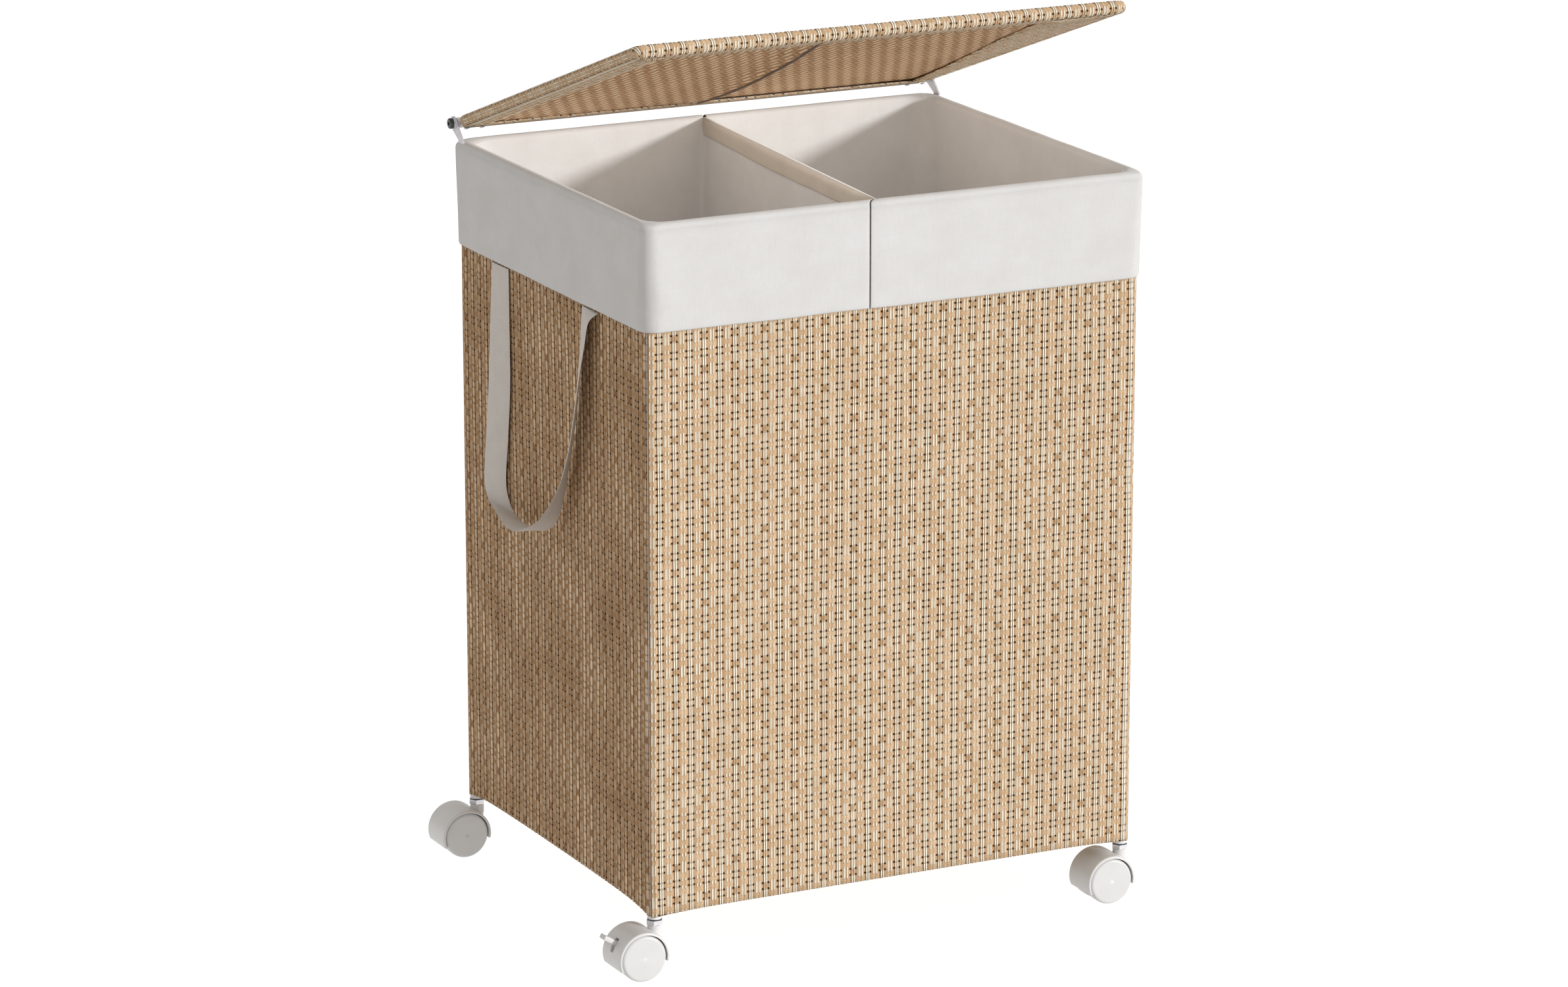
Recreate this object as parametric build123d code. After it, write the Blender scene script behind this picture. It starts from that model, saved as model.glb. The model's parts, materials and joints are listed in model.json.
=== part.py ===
from build123d import *

import math
import os

"""Laundry sorter on wheels: a woven, steel-framed hamper with two removable liner bags, a hinged lid,
two webbing handles and four twin-wheel swivel casters.

The part's own frame has its origin on the floor under the centre of the body. +X runs to the right along
the long front, +Y to the back, where the lid is hinged, and +Z up. Every size is in millimetres.

Each entry of PARTS, at the end, is one sub-part and becomes one STEP file under parts/.
"""

# ---------------------------------------------------------------- driving dimensions
SHELL_HALF_X = 228.0  # outside of the woven shell
SHELL_HALF_Y = 188.0
SHELL_T = 1.0
SHELL_BOTTOM_Z = 50.0
RIM_Z = 636.0  # top of the liner's fold over the rim
CLOTH_T = 0.8  # liner cloth

POST_R = 6.0
POST_WALL = 1.0
POST_FOOT_Z = 48.5
POST_TOP_Z = 626.0

CUFF_GAP = 2.2  # between shell and cuff, room for the handle tabs and hinge brackets
CUFF_HEIGHT = 90.0

RAIL_R = 2.5  # top rails are rods
LOW_RAIL_R = 4.0  # bottom rails are tubes
LOW_RAIL_Z = 72.0
HEAD_SIZE = 12.4  # plastic connector on top of each post
HEAD_CORNER_R = 6.0

DIVIDER_FRONT_X = -18.0  # the two bags meet a little off centre, on a line that is not quite square
DIVIDER_BACK_X = 4.0
BAG_GAP = 2.0  # between the bags, filled at the top by the hook-and-loop strip

LID_OPEN_DEG = 19.0  # how far the lid stands open at rest, above level
LID_PIVOT_Y = 191.5
LID_PIVOT_Z = 649.0
LID_HALF_X = 226.9
LID_REACH = 378.0  # from the pivot to the lid's front edge
LID_HALF_T = 5.6
LID_TUBE_R = 4.5

STRAP_W = 32.0
STRAP_T = 1.6
STRAP_MID_Y = 15.0  # the handles sit a little behind the middle of the sides
STRAP_HALF_Y = 87.0  # from there to the middle of each leg
STRAP_LOW_Z = 320.0
STRAP_HINGE_Z = 544.4

WHEEL_R = 20.0
WHEEL_IN_Y = 4.5  # inner face of each wheel, from the caster's middle
WHEEL_OUT_Y = 17.0
TRAIL = 17.0  # from the swivel axis to the axle
HOOD_R = 22.8
HOOD_BORE_R = 20.8
HOOD_HALF_Y = 17.6
WEB_HALF_Y = 4.1
NECK_R = 6.0
NECK_TOP_Z = 43.2
STEM_R = 4.0
AXLE_R = 2.0

# ---------------------------------------------------------------- sizes that follow
SIT = 0.3  # the usual gap between neighbours that don't touch
POST_X = SHELL_HALF_X - SHELL_T - SIT - POST_R
POST_Y = SHELL_HALF_Y - SHELL_T - SIT - POST_R
SHELL_CORNER_R = POST_R + SIT + SHELL_T
SHELL_TOP_Z = RIM_Z - CLOTH_T - 0.6

CUFF_IN_X = SHELL_HALF_X + CUFF_GAP
CUFF_IN_Y = SHELL_HALF_Y + CUFF_GAP
CUFF_IN_R = SHELL_CORNER_R + CUFF_GAP
CUFF_LOW_Z = RIM_Z - CUFF_HEIGHT

RAIL_X = SHELL_HALF_X - SHELL_T - 0.6 - RAIL_R
RAIL_Y = SHELL_HALF_Y - SHELL_T - 0.6 - RAIL_R
RAIL_Z = RIM_Z - 4.5
RAIL_END = 0.2  # how far a top rail stops short of the post's axis

BAG_X = RAIL_X - RAIL_R - 0.2
BAG_Y = RAIL_Y - RAIL_R - 0.2
HEAD_INNER = HEAD_SIZE + SHELL_T + SIT  # from the shell's outside to a top connector's inner faces
BAG_CORNER_SUM = (  # |x| + |y| along the bag's cut corners, which pass the top connectors
    SHELL_HALF_X + SHELL_HALF_Y - 2 * HEAD_INNER + (2 - math.sqrt(2)) * HEAD_CORNER_R - SIT * math.sqrt(2)
)
BOARD_T = 3.0
BOARD_Z = LOW_RAIL_Z + LOW_RAIL_R + 0.1
BAG_FLOOR_Z = BOARD_Z + BOARD_T + SIT

CORNERS = {"front_left": (-1, -1), "front_right": (1, -1), "back_left": (-1, 1), "back_right": (1, 1)}
BRAKED = ("front_left", "back_right")
SIDES = {"left": -1, "right": 1}


# ---------------------------------------------------------------- helpers
def box(x0, x1, y0, y1, z0, z1):
    """A box between two corners."""
    low = (min(x0, x1), min(y0, y1), min(z0, z1))
    return Pos(*low) * Box(abs(x1 - x0), abs(y1 - y0), abs(z1 - z0), align=(Align.MIN,) * 3)


def upright(x, y, z0, z1, radius):
    """A cylinder along Z between two heights."""
    return Pos(x, y, z0) * Cylinder(radius, z1 - z0, align=(Align.CENTER, Align.CENTER, Align.MIN))


def along_x(y, z, x0, x1, radius):
    """A cylinder along X."""
    return Pos((x0 + x1) / 2, y, z) * Rot(0, 90, 0) * Cylinder(radius, abs(x1 - x0))


def along_y(x, z, y0, y1, radius):
    """A cylinder along Y."""
    return Pos(x, (y0 + y1) / 2, z) * Rot(90, 0, 0) * Cylinder(radius, abs(y1 - y0))


def slab(points, z0, z1):
    """A prism on a plan outline, between two heights."""
    face = make_face(Polyline(*points, close=True))
    return Pos(0, 0, z0) * extrude(face, z1 - z0)


def side_plate(points, x0, x1):
    """A prism on an outline given as (y, z), between two X positions."""
    wire = Polyline(*[(x0, y, z) for y, z in points], close=True)
    return extrude(make_face(wire), x1 - x0, dir=(1, 0, 0))


def edge_plate(points, y0, y1):
    """A prism on an outline given as (x, z), between two Y positions."""
    wire = Polyline(*[(x, y0, z) for x, z in points], close=True)
    return extrude(make_face(wire), y1 - y0, dir=(0, 1, 0))


def rounded(half_x, half_y, radius, z0, z1):
    """A block with round upright corners."""
    return Pos(0, 0, z0) * extrude(RectangleRounded(2 * half_x, 2 * half_y, radius), z1 - z0)


def divider_x(y):
    """Where the line between the two bags lies at a given Y."""
    share = (y + SHELL_HALF_Y) / (2 * SHELL_HALF_Y)
    return DIVIDER_FRONT_X + (DIVIDER_BACK_X - DIVIDER_FRONT_X) * share


def group(*solids):
    """Separate solids that share one node."""
    return Compound(children=[s for shape in solids for s in shape.solids()])


# ---------------------------------------------------------------- steel frame
def post(sx, sy):
    """One corner tube, with holes for the bracket screws in the two back ones."""
    x, y = sx * POST_X, sy * POST_Y
    tube = upright(x, y, POST_FOOT_Z, POST_TOP_Z, POST_R)
    tube -= upright(x, y, POST_FOOT_Z, POST_TOP_Z, POST_R - POST_WALL)
    if sy > 0:
        tube -= screw_holes(sx)
    return tube


def top_rail_x(sy):
    reach = POST_X - RAIL_END
    return along_x(sy * RAIL_Y, RAIL_Z, -reach, reach, RAIL_R)


def top_rail_y(sx):
    reach = POST_Y - RAIL_END
    return along_y(sx * RAIL_X, RAIL_Z, -reach, reach, RAIL_R)


def bottom_rail_x(sy):
    """Front or back bottom tube, coped to the posts."""
    rail = along_x(sy * POST_Y, LOW_RAIL_Z, -POST_X, POST_X, LOW_RAIL_R)
    rail -= along_x(sy * POST_Y, LOW_RAIL_Z, -POST_X, POST_X, LOW_RAIL_R - POST_WALL)
    for sx in (-1, 1):
        rail -= upright(sx * POST_X, sy * POST_Y, SHELL_BOTTOM_Z, 2 * LOW_RAIL_Z, POST_R + 0.02)
    return rail


def bottom_rail_y(x, reach, ends):
    """Bottom tube along Y, coped to whatever its ends meet."""
    rail = along_y(x, LOW_RAIL_Z, -reach, reach, LOW_RAIL_R)
    rail -= along_y(x, LOW_RAIL_Z, -reach, reach, LOW_RAIL_R - POST_WALL)
    for end in ends:
        rail -= end
    return rail


def bottom_rail_side(sx):
    ends = [upright(sx * POST_X, sy * POST_Y, SHELL_BOTTOM_Z, 2 * LOW_RAIL_Z, POST_R + 0.02) for sy in (-1, 1)]
    return bottom_rail_y(sx * POST_X, POST_Y, ends)


def bottom_rail_middle():
    ends = [along_x(sy * POST_Y, LOW_RAIL_Z, -30, 30, LOW_RAIL_R + 0.02) for sy in (-1, 1)]
    return bottom_rail_y(0, POST_Y, ends)


def top_connector(sx, sy):
    """Plastic head that plugs into a post and takes two top rails."""
    head_z0, head_z1 = POST_TOP_Z + 0.2, RIM_Z - CLOTH_T - 0.2
    x, y = sx * (SHELL_HALF_X - HEAD_INNER + HEAD_SIZE / 2), sy * (SHELL_HALF_Y - HEAD_INNER + HEAD_SIZE / 2)
    head = Pos(x, y, head_z0) * extrude(RectangleRounded(HEAD_SIZE, HEAD_SIZE, HEAD_CORNER_R), head_z1 - head_z0)
    head += upright(sx * POST_X, sy * POST_Y, POST_TOP_Z - 14, head_z0, POST_R - POST_WALL - 0.1)
    head -= along_x(sy * RAIL_Y, RAIL_Z, 0, sx * (POST_X - RAIL_END + 0.1), RAIL_R + 0.02)
    head -= along_y(sx * RAIL_X, RAIL_Z, 0, sy * (POST_Y - RAIL_END + 0.1), RAIL_R + 0.02)
    return head


def end_plug(sx, sy):
    """Threaded plug in a post's foot, with a thin flange under the tube."""
    x, y = sx * POST_X, sy * POST_Y
    plug = upright(x, y, POST_FOOT_Z - 1, POST_FOOT_Z, POST_R)
    plug += upright(x, y, POST_FOOT_Z, POST_FOOT_Z + 24, POST_R - POST_WALL - 0.05)
    return plug - upright(x, y, POST_FOOT_Z - 1, POST_FOOT_Z + 24, STEM_R + 0.02)


def base_board():
    """Hardboard floor that lies on the bottom rails, its corners cut round the posts."""
    return slab(cut_corner_outline(BAG_X, BAG_Y, BAG_CORNER_SUM), BOARD_Z, BOARD_Z + BOARD_T)


def cut_corner_outline(hx, hy, corner_sum):
    """A rectangle in plan whose corners are cut where |x| + |y| reaches corner_sum."""
    quarter = [(hx, corner_sum - hx), (corner_sum - hy, hy)]
    points = []
    for sx, sy, order in ((1, 1, 1), (-1, 1, -1), (-1, -1, 1), (1, -1, -1)):
        points += [(sx * x, sy * y) for x, y in quarter[::order]]
    return points


# ---------------------------------------------------------------- woven shell
def shell_ring():
    """All four shell walls as one ring, which the panels are cut from."""
    outer = rounded(SHELL_HALF_X, SHELL_HALF_Y, SHELL_CORNER_R, SHELL_BOTTOM_Z, SHELL_TOP_Z)
    inner = rounded(
        SHELL_HALF_X - SHELL_T, SHELL_HALF_Y - SHELL_T, SHELL_CORNER_R - SHELL_T, SHELL_BOTTOM_Z, SHELL_TOP_Z
    )
    return outer - inner


def shell_long(sy):
    """Front or back panel, which wraps both corners."""
    return shell_ring() & box(-300, 300, sy * POST_Y, sy * 300, 0, 700)


def shell_short(sx):
    """Side panel between the wrapped corners, with the screw holes of its hinge bracket."""
    panel = shell_ring() & box(sx * 200, sx * 300, -POST_Y, POST_Y, 0, 700)
    return panel - screw_holes(sx)


def shell_bottom():
    """Bottom panel, with a hole for each post."""
    t = SHELL_T
    panel = rounded(
        SHELL_HALF_X - t, SHELL_HALF_Y - t, SHELL_CORNER_R - t, SHELL_BOTTOM_Z, SHELL_BOTTOM_Z + t
    )
    for sx, sy in CORNERS.values():
        panel -= upright(sx * POST_X, sy * POST_Y, SHELL_BOTTOM_Z, SHELL_BOTTOM_Z + t, POST_R + 0.1)
    return panel


# ---------------------------------------------------------------- liner bags
def bag_outline(side, inset):
    """Plan of one bag, drawn in by inset on every side."""
    hx, hy = BAG_X - inset, BAG_Y - inset
    corner_sum = BAG_CORNER_SUM - inset * math.sqrt(2)
    back = divider_x(hy) + side * (BAG_GAP / 2 + inset)
    front = divider_x(-hy) + side * (BAG_GAP / 2 + inset)
    return [
        (front, -hy),
        (side * (corner_sum - hy), -hy),
        (side * hx, -(corner_sum - hx)),
        (side * hx, corner_sum - hx),
        (side * (corner_sum - hy), hy),
        (back, hy),
    ]


def bag_side_of_divider(side, z0, z1):
    """Everything on one bag's side of the line between the bags."""
    far = 300.0
    front = divider_x(-far) + side * BAG_GAP / 2
    back = divider_x(far) + side * BAG_GAP / 2
    return slab([(front, -far), (side * far, -far), (side * far, far), (back, far)], z0, z1)


def liner_bag(side):
    """One cloth bag: floor, four walls, and the cuff that folds over the rim and hangs outside the shell."""
    bag = slab(bag_outline(side, 0), BAG_FLOOR_Z, RIM_Z)
    bag -= slab(bag_outline(side, CLOTH_T), BAG_FLOOR_Z + CLOTH_T, RIM_Z)
    t = CLOTH_T
    cuff = rounded(CUFF_IN_X + t, CUFF_IN_Y + t, CUFF_IN_R + t, CUFF_LOW_Z, RIM_Z)
    cuff -= rounded(CUFF_IN_X, CUFF_IN_Y, CUFF_IN_R, CUFF_LOW_Z, RIM_Z - t)
    cuff -= slab(bag_outline(side, t), CUFF_LOW_Z, RIM_Z)
    bag += cuff & bag_side_of_divider(side, CUFF_LOW_Z, RIM_Z)
    front, back = BRACKET_LEG_Y
    slot = box(side * (SHELL_HALF_X - 0.2), side * CUFF_IN_X, front - SIT, back + SIT, RIM_Z - t, RIM_Z)
    return bag - slot


def hook_and_loop_strip():
    """The strip that holds the two bags together along the top of the divider."""
    half_t, end, width = (BAG_GAP - 0.4) / 2, BAG_Y - 2, 18.0
    points = [
        (divider_x(y) + s * half_t, y) for y, s in ((-end, -1), (-end, 1), (end, 1), (end, -1))
    ]
    return slab(points, RIM_Z - 1 - width, RIM_Z - 1)


# ---------------------------------------------------------------- webbing handles
def strap_tab(side, end):
    """One end of a handle, sewn flat on the shell under the cuff."""
    x0 = side * (SHELL_HALF_X + SIT)
    y0, half = STRAP_MID_Y + end * STRAP_HALF_Y, STRAP_W / 2
    return box(x0, x0 + side * STRAP_T, y0 - half, y0 + half, CUFF_LOW_Z + SIT, CUFF_LOW_Z + 44)


def strap(side):
    """The free loop of a handle. Flat legs hang from the tabs, and the U below them stands on edge."""
    x0 = side * (SHELL_HALF_X + SIT)
    turn_z = STRAP_LOW_Z + STRAP_HALF_Y  # centre of the U
    leg_top, u_top, leg_low = STRAP_HINGE_Z - 0.5, turn_z + 35, turn_z + 20
    outer_r, inner_r = STRAP_HALF_Y + STRAP_T / 2, STRAP_HALF_Y - STRAP_T / 2
    x1 = x0 + side * STRAP_W
    loop = along_x(0, turn_z, x0, x1, outer_r) - along_x(0, turn_z, x0, x1, inner_r)
    loop &= box(x0, x1, -200, 200, 0, turn_z)
    for s in (-1, 1):
        loop += box(x0, x1, s * inner_r, s * outer_r, turn_z, u_top)
        half = STRAP_W / 2
        loop += box(x0, x0 + side * STRAP_T, s * STRAP_HALF_Y - half, s * STRAP_HALF_Y + half, leg_low, leg_top)
    return Pos(0, STRAP_MID_Y, 0) * loop


# ---------------------------------------------------------------- hinge brackets
BRACKET_T = 1.5
BRACKET_GAP = 0.2  # in front of the shell
BRACKET_LEG_Y = (170.5, 180.5)  # the leg lies on the shell's side, under the cuff
BRACKET_SCREW_Y = 177.5
BRACKET_SCREW_Z = (592.0, 606.0)
BRACKET_EYE_R = 6.0
BRACKET_OUT_X = SHELL_HALF_X + BRACKET_GAP + BRACKET_T
SCREW_R = 2.0
SCREW_HEAD_R = 3.4
SCREW_HEAD_T = 1.3
BOLT_R = 2.5


def screw_holes(sx):
    """The two clearance holes behind a bracket, through the shell and the near wall of the post."""
    start, end = sx * POST_X, sx * SHELL_HALF_X
    holes = [along_x(BRACKET_SCREW_Y, z, start, end, SCREW_R + 0.05) for z in BRACKET_SCREW_Z]
    return holes[0] + holes[1]


def screw(sx, z, slack=0.0):
    """A countersunk screw along X, its head flush with the bracket."""
    shank = along_x(BRACKET_SCREW_Y, z, sx * (BRACKET_OUT_X - 7.0), sx * BRACKET_OUT_X, SCREW_R + slack)
    cone = Cone(SCREW_R + slack, SCREW_HEAD_R + slack, SCREW_HEAD_T)
    middle = sx * (BRACKET_OUT_X - SCREW_HEAD_T / 2)
    return shank + Pos(middle, BRACKET_SCREW_Y, z) * Rot(0, sx * 90, 0) * cone


def hinge_bracket(sx):
    """Flat steel bracket: a leg screwed to the post, and an arm that leans back to the eye for the lid's bolt."""
    x0, x1 = sx * (BRACKET_OUT_X - BRACKET_T), sx * BRACKET_OUT_X
    front, back = BRACKET_LEG_Y
    bend_z = RIM_Z + 0.6
    bracket = box(x0, x1, front, back, BRACKET_SCREW_Z[0] - 8, bend_z)
    across = BRACKET_EYE_R * math.sqrt(0.5)
    arm = [
        (front, bend_z),
        (back, bend_z),
        (LID_PIVOT_Y + across, LID_PIVOT_Z - across),
        (LID_PIVOT_Y - across, LID_PIVOT_Z + across),
    ]
    bracket += side_plate(arm, x0, x1)
    bracket += along_x(LID_PIVOT_Y, LID_PIVOT_Z, x0, x1, BRACKET_EYE_R)
    bracket -= along_x(LID_PIVOT_Y, LID_PIVOT_Z, x0, x1, BOLT_R + 0.05)
    for z in BRACKET_SCREW_Z:
        bracket -= screw(sx, z, slack=0.05)
    return bracket


def bracket_screws():
    return group(*[screw(sx, z) for sx in (-1, 1) for z in BRACKET_SCREW_Z])


# ---------------------------------------------------------------- lid
def open_lid(shape):
    """Moves a piece from the level lid, drawn with its pivot at the origin, to where it stands open."""
    return Pos(0, LID_PIVOT_Y, LID_PIVOT_Z) * Rot(-LID_OPEN_DEG, 0, 0) * shape


LID_SIDE_X = LID_HALF_X - LID_HALF_T  # middle of the lid's side tubes
LID_FRONT_Y = -(LID_REACH - LID_HALF_T)  # middle of its front tube
LID_CLOTH_T = 0.8
INSERT_LENGTH = 18.0


def lid_back_bar():
    """The tube on the pivot axis, with a tapped insert in each end."""
    end = LID_HALF_X - 0.4
    bar = along_x(0, 0, -end, end, LID_TUBE_R)
    bar -= along_x(0, 0, INSERT_LENGTH - end, end - INSERT_LENGTH, LID_TUBE_R - 1.0)
    for sx in (-1, 1):
        bar -= along_x(0, 0, sx * (end - INSERT_LENGTH), sx * end, BOLT_R + 0.02)
    return open_lid(bar)


def lid_hoop():
    """The bent tube round the lid's two sides and front, coped to the back bar."""
    bend_r = 14.0
    path = FilletPolyline(
        (-LID_SIDE_X, 0), (-LID_SIDE_X, LID_FRONT_Y), (LID_SIDE_X, LID_FRONT_Y), (LID_SIDE_X, 0), radius=bend_r
    )
    start = Plane(origin=path @ 0, z_dir=path % 0)
    hoop = sweep(start * (Circle(LID_TUBE_R) - Circle(LID_TUBE_R - 1.0)), path=path)
    hoop -= along_x(0, 0, -LID_HALF_X, LID_HALF_X, LID_TUBE_R + 0.02)
    return open_lid(hoop)


def soft_slab(grow, corner_r, edge_r):
    """The lid's outer form, with round corners and edges, made smaller all over by a negative grow."""
    hx, ht = LID_HALF_X + grow, LID_HALF_T + grow
    y0, y1 = -(LID_REACH + grow), LID_HALF_T + grow
    body = Pos(0, (y0 + y1) / 2, -ht) * extrude(RectangleRounded(2 * hx, y1 - y0, corner_r), 2 * ht)
    rims = body.edges().group_by(Axis.Z)
    return fillet(list(rims[0]) + list(rims[-1]), edge_r)


def lid_cover():
    """Woven cover: top panel and the sleeves rolled round the tubes, cut away at the two hinge corners."""
    cover = soft_slab(0, 9.0, 5.3) - soft_slab(-LID_CLOTH_T, 8.2, 4.5)
    hem = 14.9
    cover -= box(-LID_HALF_X + hem, LID_HALF_X - hem, -LID_REACH + hem, -9.5, -LID_HALF_T, -LID_HALF_T + 1.6)
    for sx in (-1, 1):
        cover -= box(sx * (LID_HALF_X - 9.0), sx * (LID_HALF_X + 1), -7, 7, -7, 7)
    return open_lid(cover)


def lid_flap(side):
    """Half of the cover's underside. The left half overlaps the right one, below it, along a slanting edge."""
    edge_back, edge_front, tuck = -2.0, -52.0, 30.0
    far_x, y_back, y_front = 214.0, -5.2, LID_FRONT_Y + 8.0
    low = -LID_HALF_T + LID_CLOTH_T + 0.2 + (0 if side < 0 else LID_CLOTH_T + 0.2)
    shift = 0 if side < 0 else -tuck
    points = [
        (side * far_x, y_back),
        (edge_back + shift, y_back),
        (edge_front + shift, y_front),
        (side * far_x, y_front),
    ]
    return open_lid(slab(points, low, low + LID_CLOTH_T))


def lid_bolt(sx):
    """Pivot bolt: a domed head outside the ear, the shank through it, and the thread in the back bar."""
    ear_out = BRACKET_OUT_X + 0.9
    head = along_x(0, 0, sx * ear_out, sx * (ear_out + 3.0), 4.6)
    head = fillet(head.edges().filter_by(GeomType.CIRCLE).sort_by(Axis.X)[-1 if sx > 0 else 0], 1.2)
    head -= along_x(0, 0, sx * (ear_out + 1.4), sx * (ear_out + 3.0), 1.6)
    tip = LID_HALF_X - 0.4 - INSERT_LENGTH + 2
    return open_lid(head + along_x(0, 0, sx * tip, sx * ear_out, BOLT_R))


def lid_washers():
    """A washer between each bolt head and its ear."""
    x0, x1 = BRACKET_OUT_X + 0.05, BRACKET_OUT_X + 0.85
    rings = [along_x(0, 0, s * x0, s * x1, 5.4) - along_x(0, 0, s * x0, s * x1, BOLT_R + 0.05) for s in (-1, 1)]
    return group(*[open_lid(r) for r in rings])


# ---------------------------------------------------------------- casters
# A caster is drawn with its swivel axis at x = y = 0 and its wheels trailing towards -X.
LEVER_HALF_Y = 2.4
LEVER_ANGLE = math.radians(147.0)  # the lever's direction from the axle
LEVER_PIVOT_R = 13.0
LEVER_PIVOT = (-TRAIL + LEVER_PIVOT_R * math.cos(LEVER_ANGLE), WHEEL_R + LEVER_PIVOT_R * math.sin(LEVER_ANGLE))
LEVER_TIP = 23.5  # from the lever's pivot
LEVER_SWING = 20.0
PIN_R = 1.5


def from_lever_pivot(reach, turn_deg):
    """A point in the caster's XZ plane, reach from the lever's pivot, turned from the lever's rest direction."""
    a = LEVER_ANGLE + math.radians(turn_deg)
    return (LEVER_PIVOT[0] + reach * math.cos(a), LEVER_PIVOT[1] + reach * math.sin(a))


def caster_hood(braked):
    """Body of a caster: fender over both wheels, web between them, and the neck round the stem."""
    drum = along_y(-TRAIL, WHEEL_R, -HOOD_HALF_Y, HOOD_HALF_Y, HOOD_R)
    drum = fillet(drum.edges().filter_by(GeomType.CIRCLE), 1.4)
    neck_low, shoulder_z = 27.0, 36.0
    neck = upright(0, 0, neck_low, NECK_TOP_Z, NECK_R)
    shoulder = Pos(0, 0, (neck_low + shoulder_z) / 2) * Cone(NECK_R - 1.4, NECK_R, shoulder_z - neck_low)
    neck = neck & (shoulder + upright(0, 0, shoulder_z, NECK_TOP_Z, NECK_R))
    hood = drum + neck
    for s in (-1, 1):
        hood -= along_y(-TRAIL, WHEEL_R, s * WEB_HALF_Y, s * (HOOD_HALF_Y + 1), HOOD_BORE_R)
    below = [(-60, 9.2), (20, 17.4), (20, -10), (-60, -10)]
    hood -= edge_plate(below, -30, 30)
    hood -= upright(0, 0, 26.5, NECK_TOP_Z, STEM_R + 0.05)
    hood -= along_y(-TRAIL, WHEEL_R, -10, 10, AXLE_R + 0.02)
    if braked:
        slot = [from_lever_pivot(r, turn) for r, turn in ((3.4, -90), (30, -12), (30, 18), (30, 36), (3.4, 90))]
        half = LEVER_HALF_Y + 0.4
        hood -= edge_plate(slot, -half, half)
        hood -= along_y(*LEVER_PIVOT, -half, half, 4.0)
        hood -= along_y(*LEVER_PIVOT, -10, 10, PIN_R + 0.05)
    return hood


def caster_lever():
    """Brake lever: hub and pins on its pivot, a stalk through the hood, and a rounded pad."""
    stalk = [from_lever_pivot(r, t) for r, t in ((2, 90), (LEVER_TIP - 4, 6), (LEVER_TIP - 4, -6), (2, -90))]
    lever = edge_plate(stalk, -LEVER_HALF_Y, LEVER_HALF_Y)
    lever += along_y(*LEVER_PIVOT, -LEVER_HALF_Y, LEVER_HALF_Y, 3.4)
    lever += along_y(*LEVER_PIVOT, -WEB_HALF_Y + 0.1, WEB_HALF_Y - 0.1, PIN_R)
    pad = [from_lever_pivot(r, t) for r, t in ((13.5, 9), (LEVER_TIP, 5.5), (LEVER_TIP, -4.5), (13.5, -8))]
    pad = edge_plate(pad, -4.6, 4.6)
    return lever + fillet(pad.edges(), 1.1)


def caster_axle():
    return along_y(-TRAIL, WHEEL_R, -13.5, 13.5, AXLE_R)


def caster_stem():
    """Steel stem: pin in the neck, hexagonal collar, and the thread that screws into the post's plug."""
    collar_z = NECK_TOP_Z + 0.3
    stem = upright(0, 0, 28.0, collar_z + 24, STEM_R)
    hexagon = RegularPolygon(radius=6.2, side_count=6, major_radius=False)
    return stem + Pos(0, 0, collar_z) * extrude(hexagon, POST_FOOT_Z - 1.1 - collar_z)


def caster_wheel(s):
    """One moulded wheel, hollow on its inner side, with a blind bore for the axle."""
    y0, y1 = WHEEL_IN_Y, WHEEL_OUT_Y
    r = WHEEL_R
    bore = AXLE_R + 0.05
    profile = [
        Polyline((0, y1 + 0.3), (0, 14.0), (bore, 14.0), (bore, y0), (6, y0), (6, 12.5), (16, 12.5), (16, y0)),
        Polyline((16, y0), (r - 1, y0), (r, y0 + 1), (r, y1 - 2.4)),
        ThreePointArc((r, y1 - 2.4), (r - 0.85, y1 - 0.75), (r - 2.6, y1)),
        Line((r - 2.6, y1), (0, y1 + 0.3)),
    ]
    wheel = revolve(make_face(profile), axis=Axis.Y)
    turn = Rot(0, 0, 0) if s > 0 else Rot(180, 0, 0)
    return Pos(-TRAIL, 0, WHEEL_R) * turn * wheel


def at_corner(shape, corner):
    sx, sy = CORNERS[corner]
    return Pos(sx * POST_X, sy * POST_Y, 0) * shape


# ---------------------------------------------------------------- all sub-parts
PARTS = {}
for name, (sx, sy) in CORNERS.items():
    PARTS[f"post_{name}"] = post(sx, sy)
for name, sy in (("front", -1), ("back", 1)):
    PARTS[f"top_rail_{name}"] = top_rail_x(sy)
    PARTS[f"bottom_rail_{name}"] = bottom_rail_x(sy)
    PARTS[f"shell_{name}"] = shell_long(sy)
for name, side in SIDES.items():
    PARTS[f"top_rail_{name}"] = top_rail_y(side)
    PARTS[f"bottom_rail_{name}"] = bottom_rail_side(side)
    PARTS[f"shell_{name}"] = shell_short(side)
    PARTS[f"liner_bag_{name}"] = liner_bag(side)
    PARTS[f"handle_strap_{name}"] = strap(side)
    PARTS[f"hinge_bracket_{name}"] = hinge_bracket(side)
    PARTS[f"lid_flap_{name}"] = lid_flap(side)
PARTS["bottom_rail_middle"] = bottom_rail_middle()
PARTS["top_connectors"] = group(*[top_connector(sx, sy) for sx, sy in CORNERS.values()])
PARTS["post_end_plugs"] = group(*[end_plug(sx, sy) for sx, sy in CORNERS.values()])
PARTS["base_board"] = base_board()
PARTS["shell_bottom"] = shell_bottom()
PARTS["hook_and_loop_strip"] = hook_and_loop_strip()
PARTS["bracket_screws"] = bracket_screws()
PARTS["lid_back_bar"] = lid_back_bar()
PARTS["lid_hoop"] = lid_hoop()
PARTS["lid_cover"] = lid_cover()
PARTS["lid_bolts"] = group(lid_bolt(-1), lid_bolt(1))
PARTS["lid_washers"] = lid_washers()
PARTS["handle_tabs"] = group(*[strap_tab(side, end) for side in (-1, 1) for end in (-1, 1)])
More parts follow.
